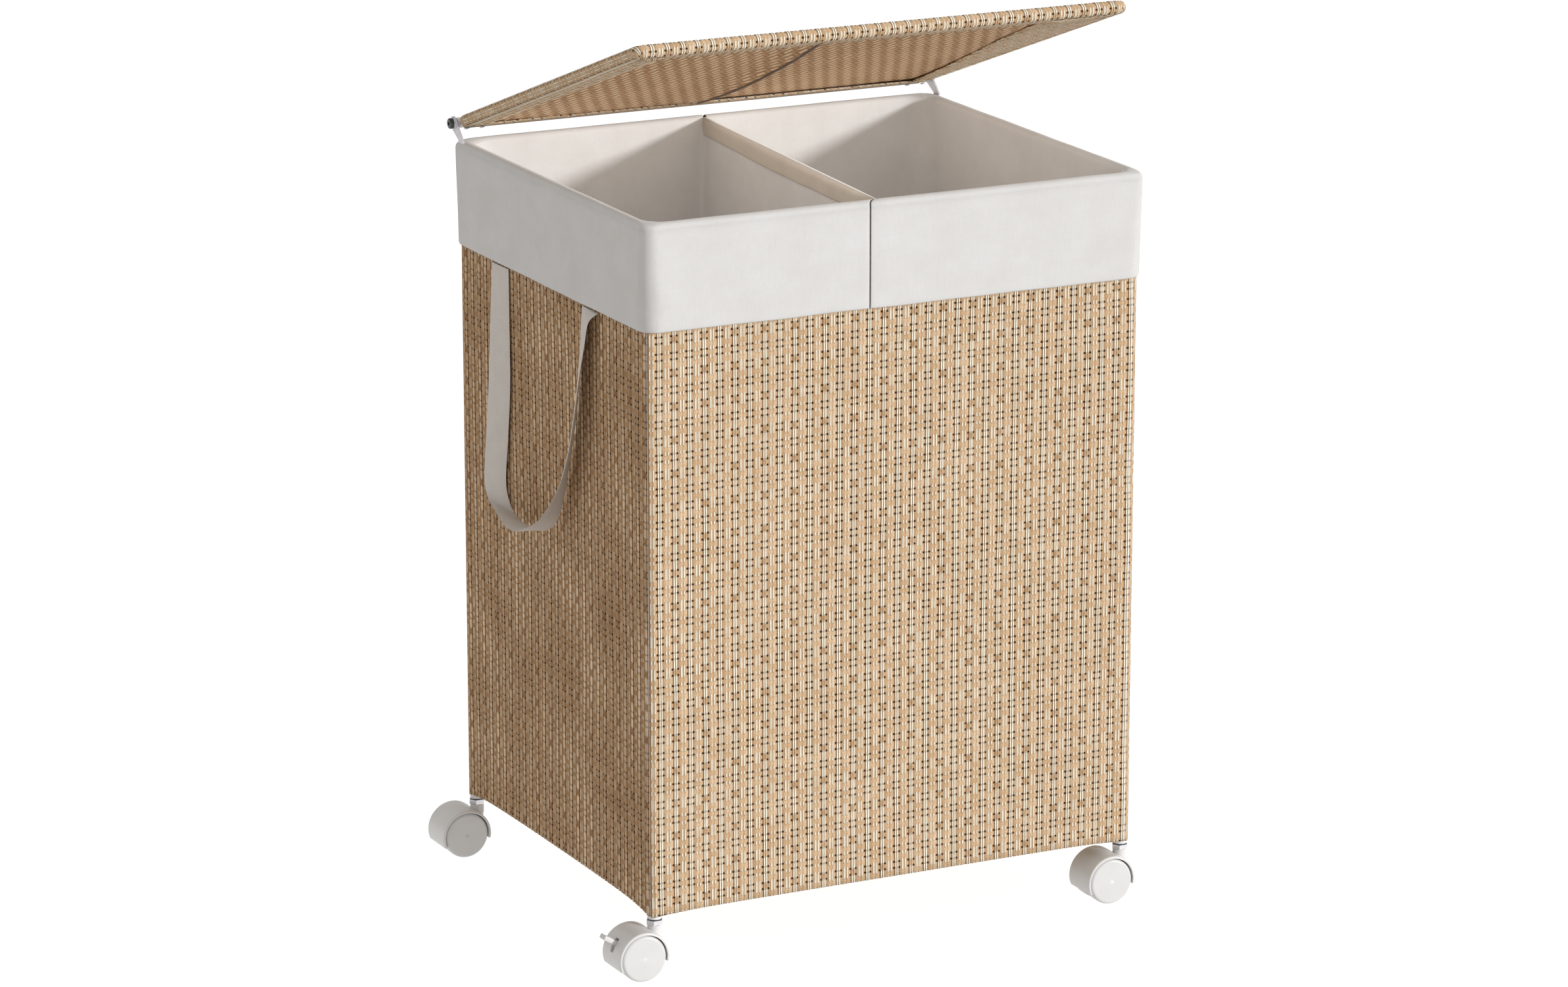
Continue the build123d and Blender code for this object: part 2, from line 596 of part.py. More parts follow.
for corner in CORNERS:
    braked = corner in BRAKED
    PARTS[f"caster_{corner}_hood"] = at_corner(caster_hood(braked), corner)
    PARTS[f"caster_{corner}_axle"] = at_corner(caster_axle(), corner)
    PARTS[f"caster_{corner}_stem"] = at_corner(caster_stem(), corner)
    PARTS[f"caster_{corner}_wheel_front"] = at_corner(caster_wheel(-1), corner)
    PARTS[f"caster_{corner}_wheel_back"] = at_corner(caster_wheel(1), corner)
    if braked:
        PARTS[f"caster_{corner}_brake_lever"] = at_corner(caster_lever(), corner)

if __name__ == "__main__":
    os.makedirs("parts", exist_ok=True)
    for name, shape in PARTS.items():
        export_step(shape, f"parts/{name}.step")
    print(len(PARTS), "sub-parts")
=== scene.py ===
import json
import math

import bpy
from mathutils import Matrix, Vector, noise

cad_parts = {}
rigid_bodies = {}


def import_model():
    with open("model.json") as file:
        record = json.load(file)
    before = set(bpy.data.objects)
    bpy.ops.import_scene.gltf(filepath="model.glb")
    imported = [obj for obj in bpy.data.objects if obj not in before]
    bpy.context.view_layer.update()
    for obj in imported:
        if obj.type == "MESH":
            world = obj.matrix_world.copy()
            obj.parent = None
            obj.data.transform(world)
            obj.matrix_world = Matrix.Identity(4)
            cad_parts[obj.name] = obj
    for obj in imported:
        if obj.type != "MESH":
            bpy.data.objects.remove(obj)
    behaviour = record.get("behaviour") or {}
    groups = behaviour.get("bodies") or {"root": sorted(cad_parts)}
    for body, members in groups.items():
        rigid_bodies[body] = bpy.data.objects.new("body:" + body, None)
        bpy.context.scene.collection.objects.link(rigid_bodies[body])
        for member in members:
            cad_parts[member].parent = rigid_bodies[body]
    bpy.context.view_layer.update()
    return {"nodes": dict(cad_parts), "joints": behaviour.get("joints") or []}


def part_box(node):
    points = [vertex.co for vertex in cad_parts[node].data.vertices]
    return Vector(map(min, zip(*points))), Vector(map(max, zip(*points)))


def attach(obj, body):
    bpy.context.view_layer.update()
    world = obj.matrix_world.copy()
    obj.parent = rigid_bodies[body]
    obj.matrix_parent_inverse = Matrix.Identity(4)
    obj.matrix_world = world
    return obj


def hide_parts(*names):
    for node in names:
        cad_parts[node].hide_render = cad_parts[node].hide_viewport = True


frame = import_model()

NODES = frame["nodes"]
MM = 0.001

# ------------------------------------------------------------ sizes, in millimetres, read from the frame
def box_mm(node):
    """Lowest and highest corner of a CAD node."""
    low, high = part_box(node)
    return low / MM, high / MM


SHELL_LOW, SHELL_HIGH = box_mm("shell_front")
SHELL_X = SHELL_HIGH.x
SHELL_Y = -SHELL_LOW.y
SHELL_R = 7.3  # radius of the shell's upright corners
BAG_LOW, BAG_HIGH = box_mm("liner_bag_right")
CUFF_X = BAG_HIGH.x
CUFF_Y = BAG_HIGH.y
RIM_Z = BAG_HIGH.z
CUFF_LOW_Z = RIM_Z - 90.0
BAG_FLOOR_Z = BAG_LOW.z + 0.8
BAG_X = box_mm("base_board")[1].x
BAG_Y = box_mm("base_board")[1].y

COLUMN = 13.6  # the weave repeats every two columns and every two rows
ROW = 14.0


# ------------------------------------------------------------ materials
class Ex:
    """A shader value that can be worked with in plain arithmetic."""

    def __init__(self, tree, socket):
        self.tree = tree
        self.socket = socket

    def math(self, operation, *others):
        node = self.tree.nodes.new("ShaderNodeMath")
        node.operation = operation
        self.tree.links.new(self.socket, node.inputs[0])
        for i, other in enumerate(others, 1):
            if isinstance(other, Ex):
                self.tree.links.new(other.socket, node.inputs[i])
            else:
                node.inputs[i].default_value = other
        return Ex(self.tree, node.outputs[0])

    def __add__(self, o):
        return self.math("ADD", o)

    def __sub__(self, o):
        return self.math("SUBTRACT", o)

    def __mul__(self, o):
        return self.math("MULTIPLY", o)

    def __truediv__(self, o):
        return self.math("DIVIDE", o)

    def off(self, o):
        """The distance from o."""
        return self.math("SUBTRACT", o).math("ABSOLUTE")

    def fract(self):
        return self.math("FRACT")

    def odd(self):
        """0 on even whole numbers, 1 on odd ones."""
        return (self.math("FLOOR") * 0.5).fract() * 2.0

    def below(self, edge, soft):
        """1 below the edge, 0 above it, with a soft step."""
        node = self.tree.nodes.new("ShaderNodeMapRange")
        node.interpolation_type = "SMOOTHSTEP"
        node.inputs["From Min"].default_value = edge - soft
        node.inputs["From Max"].default_value = edge + soft
        node.inputs["To Min"].default_value = 1.0
        node.inputs["To Max"].default_value = 0.0
        self.tree.links.new(self.socket, node.inputs["Value"])
        return Ex(self.tree, node.outputs["Result"])

    def no(self):
        return (self * -1.0) + 1.0

    def most(self, o):
        return self.math("MAXIMUM", o)


class Paint:
    """A new material, its Principled shader, and short ways to add nodes."""

    def __init__(self, name, roughness=0.6, metallic=0.0, sheen=0.0, coat=0.0):
        self.material = bpy.data.materials.new(name)
        self.material.use_nodes = True
        self.tree = self.material.node_tree
        self.shader = self.tree.nodes["Principled BSDF"]
        self.shader.inputs["Roughness"].default_value = roughness
        self.shader.inputs["Metallic"].default_value = metallic
        self.shader.inputs["Sheen Weight"].default_value = sheen
        self.shader.inputs["Coat Weight"].default_value = coat

    def coords(self, kind):
        node = self.tree.nodes.new("ShaderNodeTexCoord")
        return node.outputs[kind]

    def split(self, socket):
        node = self.tree.nodes.new("ShaderNodeSeparateXYZ")
        self.tree.links.new(socket, node.inputs[0])
        return [Ex(self.tree, node.outputs[i]) for i in range(3)]

    def scaled(self, socket, factors):
        node = self.tree.nodes.new("ShaderNodeMapping")
        node.inputs["Scale"].default_value = factors
        self.tree.links.new(socket, node.inputs["Vector"])
        return node.outputs["Vector"]

    def noise(self, socket, scale, detail=2.0, roughness=0.5, distortion=0.0):
        node = self.tree.nodes.new("ShaderNodeTexNoise")
        node.inputs["Scale"].default_value = scale
        node.inputs["Detail"].default_value = detail
        node.inputs["Roughness"].default_value = roughness
        node.inputs["Distortion"].default_value = distortion
        self.tree.links.new(socket, node.inputs["Vector"])
        return Ex(self.tree, node.outputs["Fac"])

    def mix(self, factor, first, second):
        node = self.tree.nodes.new("ShaderNodeMix")
        node.data_type = "RGBA"
        self.tree.links.new(factor.socket, node.inputs["Factor"])
        for key, colour in ((6, first), (7, second)):
            if isinstance(colour, tuple):
                node.inputs[key].default_value = (*colour, 1.0)
            else:
                self.tree.links.new(colour, node.inputs[key])
        return node.outputs[2]

    def colour(self, value):
        if isinstance(value, tuple):
            self.shader.inputs["Base Color"].default_value = (*value, 1.0)
        else:
            self.tree.links.new(value, self.shader.inputs["Base Color"])

    def rough(self, value):
        self.tree.links.new(value.socket, self.shader.inputs["Roughness"])

    def bump(self, height, depth_mm, strength=1.0):
        node = self.tree.nodes.new("ShaderNodeBump")
        node.inputs["Distance"].default_value = depth_mm * MM
        node.inputs["Strength"].default_value = strength
        self.tree.links.new(height.socket, node.inputs["Height"])
        self.tree.links.new(node.outputs["Normal"], self.shader.inputs["Normal"])


# Colours of the woven cloth. Its two sides are drawn one tone deeper than its front and back: painted
# shade, since it is the same cloth all round.
TAN = (0.750, 0.560, 0.378)
TAN_DEEP = (0.580, 0.392, 0.228)
CREAM = (1.000, 0.950, 0.810)
# Painted shade: the dark seen down the pinholes.
HOLE_SHADE = (0.030, 0.014, 0.006)
# Painted shade in the grooves, beside the dashes and round the pinholes; also the colour of small dark
# flecks.
GROOVE_SHADE_AND_FLECK = (0.220, 0.115, 0.050)
SHADED_SIDE_TAN = (0.540, 0.340, 0.185)
SHADED_SIDE_TAN_DEEP = (0.390, 0.220, 0.105)
SHADED_SIDE_CREAM = (1.000, 0.790, 0.560)
REVERSE_TAN = (0.640, 0.390, 0.200)
REVERSE_TAN_DEEP = (0.500, 0.280, 0.125)
REVERSE_CREAM = (0.930, 0.700, 0.450)
# Painted shade: the dark lines in the gaps between threads and stitches on the wrong side.
REVERSE_SHADE_LINE = (0.220, 0.100, 0.040)


def weave_pattern(u, v):
    """Masks of the weave's parts. Even columns have strand pairs, with tan dashed bands between them."""
    fu = u.fract()
    fv = v.fract()
    a = fu.off(0.5)
    b = fv.off(0.5)
    e = a.off(0.5)
    odd_row = v.odd()
    even_row = odd_row.no()
    broken = u.odd() * even_row * b.below(0.16, 0.02)
    strands = a.off(0.070).below(0.050, 0.014) * broken.no()
    dash_length = b.below(0.37, 0.025)
    dash_rows = (even_row * dash_length).most(odd_row * dash_length * b.below(0.12, 0.025).no())
    dash_line = e.off(0.105)
    hole_u = a.off(0.1915) * COLUMN
    hole_v = b.off(0.1875) * ROW
    hole_distance = (hole_u * hole_u + hole_v * hole_v).math("SQRT")
    flanks = a.off(0.148).below(0.020, 0.014)
    return {
        "strands": strands,
        "dashes": dash_line.below(0.040, 0.014) * dash_rows,
        "thin_dashes": e.below(0.016, 0.012) * even_row * b.below(0.30, 0.03) * 0.6,
        # The dash sides, the holes and the rims round them mark where the colour gets painted shade.
        "dash_side_shade": dash_line.off(0.056).below(0.014, 0.010) * dash_rows,
        "holes": hole_distance.below(0.72, 0.16),
        "hole_rim_shade": hole_distance.below(1.30, 0.35) * 0.5,
        "grooves": a.below(0.018, 0.014).most(flanks * 0.75),
        "knots": b.off(0.1875).below(0.040, 0.03) * strands * 0.6,
    }


def woven_paint(name, tan, tan_deep, cream):
    """Right side of the woven cloth: cream strand pairs, pinholes, and tan bands with cream dashes, with
    painted shade in the grooves, round the pinholes and in them.
    """
    p = Paint(name, roughness=0.8)
    p.shader.inputs["Specular IOR Level"].default_value = 0.10
    uv = p.coords("UV")
    u, v, _ = p.split(uv)
    wander = p.noise(p.scaled(uv, (0.22, 0.16, 1.0)), 1.0, detail=1.0) * 0.12
    part = weave_pattern(u + wander - 0.06, v)
    fibres = p.noise(p.scaled(uv, (15.0, 1.5, 1.0)), 1.0, detail=3.0, roughness=0.7)
    flecks = p.noise(p.scaled(uv, (9.0, 7.0, 1.0)), 1.0, detail=2.0, roughness=0.6)
    blotches = p.noise(p.scaled(uv, (0.9, 0.8, 1.0)), 1.0, detail=2.0)
    ribs = (v * 9.0).fract().off(0.5) * 2.0
    gaps = fibres.below(0.45, 0.12)

    base = p.mix(blotches.below(0.52, 0.20), tan, tan_deep)
    base = p.mix(ribs * 0.22, base, tan_deep)
    base = p.mix(gaps * 0.75, base, tan_deep)
    base = p.mix(flecks.below(0.38, 0.08) * 0.35, base, GROOVE_SHADE_AND_FLECK)
    pale = p.mix(gaps * 0.55, cream, tan)
    pale = p.mix(part["knots"], pale, tan_deep)
    base = p.mix(part["strands"].most(part["dashes"]).most(part["thin_dashes"]), base, pale)
    # Painted shade: the grooves, the sides of the dashes, the rims round the pinholes and the pinholes
    # themselves are drawn dark.
    base = p.mix(part["grooves"].most(part["dash_side_shade"] * 0.7) * 0.6, base, GROOVE_SHADE_AND_FLECK)
    base = p.mix(part["hole_rim_shade"], base, GROOVE_SHADE_AND_FLECK)
    base = p.mix(part["holes"], base, HOLE_SHADE)
    p.colour(base)

    raised = part["strands"] * 0.8 + part["dashes"] * 0.75 + ribs * 0.16 + fibres * 0.35
    p.bump(raised - part["holes"] * 1.6 - part["grooves"] * 0.6 - part["knots"], 1.0)
    return p.material


def reverse_paint(name, tan, tan_deep, cream, line):
    """Wrong side of the woven cloth: columns of long slanting stitches, staggered like brickwork, with
    painted shade in the gaps between them.
    """
    p = Paint(name, roughness=0.72)
    p.shader.inputs["Specular IOR Level"].default_value = 0.22
    uv = p.coords("UV")
    u, v, _ = p.split(uv)
    wander = p.noise(p.scaled(uv, (0.3, 0.2, 1.0)), 1.0, detail=1.0)
    u = u + wander * 0.3
    fibres = p.noise(p.scaled(uv, (14.0, 3.0, 1.0)), 1.0, detail=3.0, roughness=0.7)
    blotches = p.noise(p.scaled(uv, (0.35, 0.25, 1.0)), 1.0, detail=2.0)
    half = (u * 2.0).fract()
    lean = (u * 2.0).odd() * 2.0 - 1.0
    stagger = (u * 2.0).odd() * 0.5 + (half - 0.5) * lean * 0.22 + wander * 0.4
    stitch = (v * 0.5 + stagger).fract().off(0.5)
    width = half.off(0.5)
    stitches = stitch.below(0.30, 0.04) * width.below(0.27, 0.06)
    split = width.below(0.035, 0.03) * stitch.below(0.30, 0.04)
    edges = stitch.off(0.345).below(0.05, 0.03) * width.below(0.36, 0.06)
    columns = width.below(0.40, 0.05).no()
    threads = (v * 4.0).fract().off(0.5) * 2.0
    base = p.mix(blotches.below(0.5, 0.22), tan, tan_deep)
    base = p.mix(fibres.below(0.45, 0.15) * 0.6, base, tan_deep)
    # The line colour is painted shade: in the gaps between threads, at the ends and middles of the
    # stitches, and between the stitch columns.
    base = p.mix(threads.below(0.35, 0.2) * 0.35, base, line)
    pale = p.mix(fibres.below(0.45, 0.15) * 0.6, cream, tan)
    base = p.mix(stitches, base, pale)
    base = p.mix(edges.most(split) * 0.7, base, line)
    base = p.mix(columns * 0.6, base, line)
    p.colour(base)
    p.bump(stitches * 0.9 + fibres * 0.3 - columns * 0.6 - edges * 0.5 + threads * 0.2, 1.0)
    return p.material


def cloth_paint(name, colour, shade, threads_per_m=1100.0, depth=0.12):
    """Plain-weave cotton with a faint mottle and slubs."""
    p = Paint(name, roughness=0.85, sheen=0.18)
    uv = p.coords("UV")
    x, y, _ = p.split(p.scaled(uv, (threads_per_m, threads_per_m, 1.0)))
    warp, weft = x.fract().off(0.5) * 2.0, y.fract().off(0.5) * 2.0
    over = (x.odd() + y.odd()).odd()
    weave = warp.no() * over + weft.no() * over.no()
    mottle = p.noise(p.scaled(uv, (1.0, 1.0, 1.0)), 26.0, detail=4.0, roughness=0.65)
    slubs = p.noise(p.scaled(uv, (380.0, 46.0, 1.0)), 1.0, detail=2.0)
    slubs_across = p.noise(p.scaled(uv, (40.0, 330.0, 1.0)), 1.0, detail=2.0)
    base = p.mix(mottle.below(0.5, 0.24), colour, shade)
    base = p.mix(slubs.below(0.40, 0.10) * 0.35, base, shade)
    base = p.mix(slubs_across.below(0.38, 0.10) * 0.30, base, shade)
    # Painted shade: darker at the edges of the threads, where the weave dips.
    base = p.mix(weave.below(0.25, 0.2) * 0.25, base, shade)
    p.colour(base)
    p.bump(weave * 0.5 + slubs * 0.8 + slubs_across * 0.8 + mottle * 1.6, depth)
    return p.material


def webbing_paint(name, colour, shade):
    """Flat cotton webbing: fine ribs across and a selvedge line along each edge."""
    p = Paint(name, roughness=0.8, sheen=0.2)
    uv = p.coords("UV")
    across, along, _ = p.split(uv)
    ribs = (along * 900.0 + (across * 700.0).fract().off(0.5) * 0.8).fract().off(0.5) * 2.0
    ends = (across * 700.0).fract().off(0.5) * 2.0
    mottle = p.noise(uv, 60.0, detail=3.0)
    base = p.mix(mottle.below(0.5, 0.25) * 0.6, colour, shade)
    # Painted shade: darker in the grooves between the ribs.
    base = p.mix(ribs.below(0.3, 0.25) * 0.35, base, shade)
    p.colour(base)
    p.bump(ribs * 0.8 + ends * 0.5 + mottle * 0.6, 0.18)
    return p.material


def plastic_paint(name, colour, shade, roughness, texture_mm=0.05):
    """Moulded plastic with a fine grain and slight unevenness."""
    p = Paint(name, roughness=roughness, coat=0.08)
    where = p.coords("Object")
    uneven = p.noise(where, 60.0, detail=2.0)
    grain = p.noise(where, 1800.0, detail=2.0)
    p.colour(p.mix(uneven.below(0.5, 0.3) * 0.7, colour, shade))
    p.rough(uneven * 0.18 + (roughness - 0.09))
    p.bump(grain * 0.6 + uneven * 1.2, texture_mm)
    return p.material


def metal_paint(name, colour, shade, roughness, metallic):
    """Coated or plated steel with faint streaks and small marks."""
    p = Paint(name, roughness=roughness, metallic=metallic)
    where = p.coords("Object")
    streaks = p.noise(p.scaled(where, (900.0, 900.0, 60.0)), 1.0, detail=2.0)
    marks = p.noise(where, 420.0, detail=4.0, roughness=0.7)
    p.colour(p.mix(marks.below(0.42, 0.12) * 0.8, colour, shade))
    p.rough(streaks * 0.14 + marks * 0.12 + (roughness - 0.12))
    p.bump(streaks * 0.5 + marks, 0.03)
    return p.material


def board_paint(name):
    """Hardboard: pressed brown fibres."""
    p = Paint(name, roughness=0.55)
    where = p.coords("Object")
    fibres = p.noise(p.scaled(where, (500.0, 180.0, 500.0)), 1.0, detail=4.0, distortion=1.5)
    p.colour(p.mix(fibres.below(0.5, 0.2), (0.30, 0.17, 0.08), (0.19, 0.10, 0.045)))
    p.bump(fibres, 0.06)
    return p.material


WOVEN = woven_paint("woven", TAN, TAN_DEEP, CREAM)
# A darker copy of the weave for the two side walls: painted shade.
WOVEN_SHADED_SIDES = woven_paint("woven_sides_painted_shade", SHADED_SIDE_TAN, SHADED_SIDE_TAN_DEEP, SHADED_SIDE_CREAM)
REVERSE = reverse_paint("woven_reverse", REVERSE_TAN, REVERSE_TAN_DEEP, REVERSE_CREAM, REVERSE_SHADE_LINE)
# Painted shadow: the dark line under the left lid flap's free edge.
FLAP_EDGE_SHADOW_CLOTH = cloth_paint("flap_edge_painted_shadow", (0.150, 0.075, 0.035), (0.090, 0.045, 0.020))
LINER = cloth_paint("liner", (0.690, 0.688, 0.687), (0.640, 0.634, 0.628))
# The double hem is the liner cloth drawn darker and warmer: painted shade over the divider's top.
BINDING = cloth_paint("liner_double", (0.600, 0.545, 0.475), (0.540, 0.485, 0.415))
WEBBING = webbing_paint("webbing", (0.700, 0.660, 0.620), (0.620, 0.580, 0.540))
WHITE_PLASTIC = plastic_paint("white_plastic", (0.74, 0.74, 0.735), (0.70, 0.70, 0.70), 0.34)
WHEEL_PLASTIC = plastic_paint("wheel_plastic", (0.70, 0.70, 0.70), (0.66, 0.66, 0.66), 0.38)
GREY_PLASTIC = plastic_paint("connector_plastic", (0.70, 0.70, 0.70), (0.62, 0.62, 0.62), 0.45)
BLACK_PLASTIC = plastic_paint("black_plastic", (0.02, 0.02, 0.02), (0.035, 0.035, 0.035), 0.45)
FRAME_STEEL = metal_paint("frame_coating", (0.78, 0.78, 0.79), (0.70, 0.70, 0.72), 0.38, 0.0)
BRACKET_STEEL = metal_paint("bracket_coating", (0.66, 0.645, 0.69), (0.55, 0.54, 0.58), 0.36, 0.25)
ZINC = metal_paint("zinc", (0.74, 0.73, 0.77), (0.60, 0.60, 0.64), 0.28, 0.85)
BLACK_STEEL = metal_paint("black_bolt", (0.045, 0.05, 0.052), (0.12, 0.12, 0.125), 0.34, 0.7)
BOARD = board_paint("hardboard")


# ------------------------------------------------------------ mesh helpers
def wave(x, y, z=0.0, seed=0.0):
    """Smooth noise from about -1 to 1."""
    return noise.noise(Vector((x + seed * 7.31, y - seed * 3.17, z + seed)))


def piece(name, verts, faces, uvs, material, body, replaces=(), sharp_deg=None):
    """A mesh object from millimetre vertices and one (u, v) for each vertex, riding on a body."""
    mesh = bpy.data.meshes.new(name)
    mesh.from_pydata([Vector(v) * MM for v in verts], [], faces)
    layer = mesh.uv_layers.new(name="UVMap")
    for loop in mesh.loops:
        layer.data[loop.index].uv = uvs[loop.vertex_index]
    mesh.polygons.foreach_set("use_smooth", [True] * len(mesh.polygons))
    if sharp_deg is not None:
        mesh.set_sharp_from_angle(angle=math.radians(sharp_deg))
    mesh.materials.append(material)
    mesh.update()
    obj = bpy.data.objects.new(name, mesh)
    bpy.context.scene.collection.objects.link(obj)
    if replaces:
        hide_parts(*replaces)
    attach(obj, body)
    return obj


def grid_faces(rows, columns, keep=None, flip=False):
    """Quads of a grid whose vertices are numbered row by row."""
    faces = []
    for r in range(rows - 1):
        for c in range(columns - 1):
            if keep and not keep(r, c):
                continue
            i = r * columns + c
            quad = (i, i + 1, i + columns + 1, i + columns)
            faces.append(quad[::-1] if flip else quad)
    return faces


def thicken(obj, millimetres, offset=-1.0):
    """Real thickness for a sheet, added behind its face, or in front of it with an offset of 1."""
    modifier = obj.modifiers.new("thickness", "SOLIDIFY")
    modifier.thickness = millimetres * MM
    modifier.offset = offset


def smooth_more(obj):
    modifier = obj.modifiers.new("smooth", "SUBSURF")
    modifier.levels = 1
    modifier.render_levels = 1


def tube_faces(rows, sides):
    """Quads round an open-ended tube whose vertices are numbered ring by ring."""
    faces = []
    for r in range(rows - 1):
        for c in range(sides):
            a = r * sides + c
            b = r * sides + (c + 1) % sides
            faces.append((a, b, b + sides, a + sides))
    return faces


def ease(t):
    """0 up to t = 0, 1 from t = 1, and a smooth step between."""
    t = min(1.0, max(0.0, t))
    return t * t * (3.0 - 2.0 * t)


def spread(start, end, count):
    """count numbers from start to end."""
    return [start + (end - start) * i / (count - 1) for i in range(count)]


# ------------------------------------------------------------ woven shell
def rounded_ring(s, hx, hy, r):
    """Point and outward normal at arc length s, from the middle of the back round by the left side."""
    runs = [hx - r, None, 2 * (hy - r), None, 2 * (hx - r), None, 2 * (hy - r), None, hx - r]
    place = Vector((0.0, hy))
    heading = math.pi
    for run in runs:
        length = run if run is not None else r * math.pi / 2
        step = min(s, length)
        if run is None:
            turn = step / r
            centre = place + r * Vector((-math.sin(heading), math.cos(heading)))
            place = centre + r * Vector((math.sin(heading + turn), -math.cos(heading + turn)))
            heading += turn
        else:
            place = place + step * Vector((math.cos(heading), math.sin(heading)))
        s -= step
        if s <= 1e-9:
            break
    return place, Vector((math.sin(heading), -math.cos(heading)))


# Shares of a column where the shell has vertices, so that each strand, channel and dash has its own.
HALF_STEPS = (0.0, 0.035, 0.065, 0.10, 0.145, 0.20, 0.245, 0.275, 0.3085, 0.342,
              0.375, 0.405, 0.435, 0.465, 0.50)
STEPS = HALF_STEPS + tuple(1.0 - s for s in reversed(HALF_STEPS[1:-1]))


def relief(f):
    """Height of the weave across one column, in millimetres: strand pair, pinhole channel, dashed band."""
    a = abs(f - 0.5)
    strand = abs(a - 0.070) / 0.062
    if strand < 1.0:
        return 0.55 * math.sqrt(1.0 - strand * strand)
    channel = abs(a - 0.1915) / 0.055
    if channel < 1.0:
        return -0.50 * (1.0 - channel * channel)
    dash = abs((0.5 - a) - 0.105) / 0.060
    if dash < 1.0:
        return 0.16 + 0.30 * math.sqrt(1.0 - dash * dash)
    return 0.12


def shell_foot(point):
    """Height of the shell's lower edge: it dips to each post and rises between them."""
    gap_x = SHELL_X - abs(point.x)
    gap_y = SHELL_Y - abs(point.y)
    away = max(gap_x, gap_y)
    lift = 3.2 if gap_y < gap_x else 7.2
    return SHELL_LOW.z + 0.2 + lift * (1.0 - math.exp(-away / 26.0))


FOOT_ROWS = (-0.02, -0.008)  # two rows that turn the shell's edge in under itself
WALL_ROWS = (0.0, 0.012, 0.03) + tuple(spread(0.06, 1.0, 20))  # shares of the shell's height
SHELL_SAG = 1.5
SAG_REACH = 150.0
SAG_HEIGHT = 490.0


def shell_point(u, h, point, normal):
    """Vertex of the shell at weave column u and row h: the weave's relief, a slight sag and some drift."""
    foot = shell_foot(point)
    z = foot + (SHELL_HIGH.z - foot) * max(h, 0.0)
    from_corner = SHELL_X - abs(point.x) if abs(normal.y) > 0.7 else SHELL_Y - abs(point.y)
    flat = min(from_corner, SAG_REACH) / SAG_REACH
    rise = min(1.0, max(0.0, (z - SHELL_LOW.z) / SAG_HEIGHT))
    sag = SHELL_SAG * ease(flat) * math.sin(math.pi * rise)
    drift = 0.55 * wave(point.x / 90, point.y / 90, z / 110, 1.0) * ease(flat * 3)
    out = relief(u % 1.0) * (1.0 if h >= 0 else 0.3) - sag - 0.55 + drift
    if h == FOOT_ROWS[0]:
        out -= 2.6
        z = foot + 0.5
    elif h == FOOT_ROWS[1]:
        out -= 0.5
        z = foot - 0.1
    return point.x + normal.x * out, point.y + normal.y * out, z


def woven_shell():
    """The four walls as one sheet, with the side walls in a darker copy of the weave: painted shade."""
    length = 4 * (SHELL_X + SHELL_Y) - (8 - 2 * math.pi) * SHELL_R
    columns = round(length / COLUMN)
    pitch = length / columns
    across = [k + f for k in range(columns) for f in STEPS] + [float(columns)]
    ring = [rounded_ring(u * pitch, SHELL_X - 0.3, SHELL_Y - 0.3, SHELL_R) for u in across]
    rows = FOOT_ROWS + WALL_ROWS
    verts, uvs = [], []
    for h in rows:
        for u, (point, normal) in zip(across, ring):
            verts.append(shell_point(u, h, point, normal))
            uvs.append((u, verts[-1][2] / ROW + min(h, 0.0) * 20.0))
    faces = grid_faces(len(rows), len(across))
    shell = piece("woven_shell", verts, faces, uvs, WOVEN, "hamper",
                  ("shell_front", "shell_back", "shell_left", "shell_right"))
    shell.data.materials.append(WOVEN_SHADED_SIDES)
    # Faces of the left and right walls get the darker copy of the weave: painted shade.
    for polygon in shell.data.polygons:
        normal = ring[polygon.vertices[0] % len(across)][1]
        polygon.material_index = 1 if abs(normal.x) > 0.7 else 0


BASE_CELLS = 40
BASE_INSET = 2.4
POST_CLEARANCE = 14


def base_place(column, row):
    """x and y at a place on the underside's grid."""
    x = (2 * column / BASE_CELLS - 1) * (SHELL_X - BASE_INSET)
    y = (2 * row / BASE_CELLS - 1) * (SHELL_Y - BASE_INSET)
    return x, y


def woven_base():
    """Underside panel, drawn down to the posts at its corners."""
    verts, uvs = [], []
    for j in range(BASE_CELLS + 1):
        for i in range(BASE_CELLS + 1):
            x, y = base_place(i, j)
            corner = math.hypot(SHELL_X - abs(x), SHELL_Y - abs(y))
            middle = min(SHELL_X - abs(x), SHELL_Y - abs(y)) / 60.0
            z = shell_foot(Vector((x, y))) + 0.6 - 1.2 * ease(middle) * math.exp(-corner / 900.0)
            z += 0.4 * wave(x / 60, y / 60, 0.0, 5.0)
            verts.append((x, y, min(z, SHELL_LOW.z + 8.0)))
            uvs.append((x / COLUMN, y / ROW))

    def clear_of_posts(r, c):
        x, y = base_place(c + 0.5, r + 0.5)
        return abs(x) < SHELL_X - POST_CLEARANCE or abs(y) < SHELL_Y - POST_CLEARANCE
    faces = grid_faces(BASE_CELLS + 1, BASE_CELLS + 1, keep=clear_of_posts, flip=True)
    obj = piece("woven_base", verts, faces, uvs, WOVEN, "hamper", ("shell_bottom",))
    thicken(obj, 0.8)


# ------------------------------------------------------------ liner bags
DIVIDER = {"front": -18.0, "back": 4.0}  # x of the divider, which runs slightly askew
SEAM = {"front": -28.0, "back": 6.0}  # x of the slit between the two cuffs
BAG_GAP = 1.2  # from the divider's middle to each bag's wall
INNER_X = BAG_X - 0.4
INNER_Y = BAG_Y - 0.4
FOLD_HALF = (CUFF_X - INNER_X) / 2
DIVIDER_COUNT = 40
BAG_CLOTH = 0.7


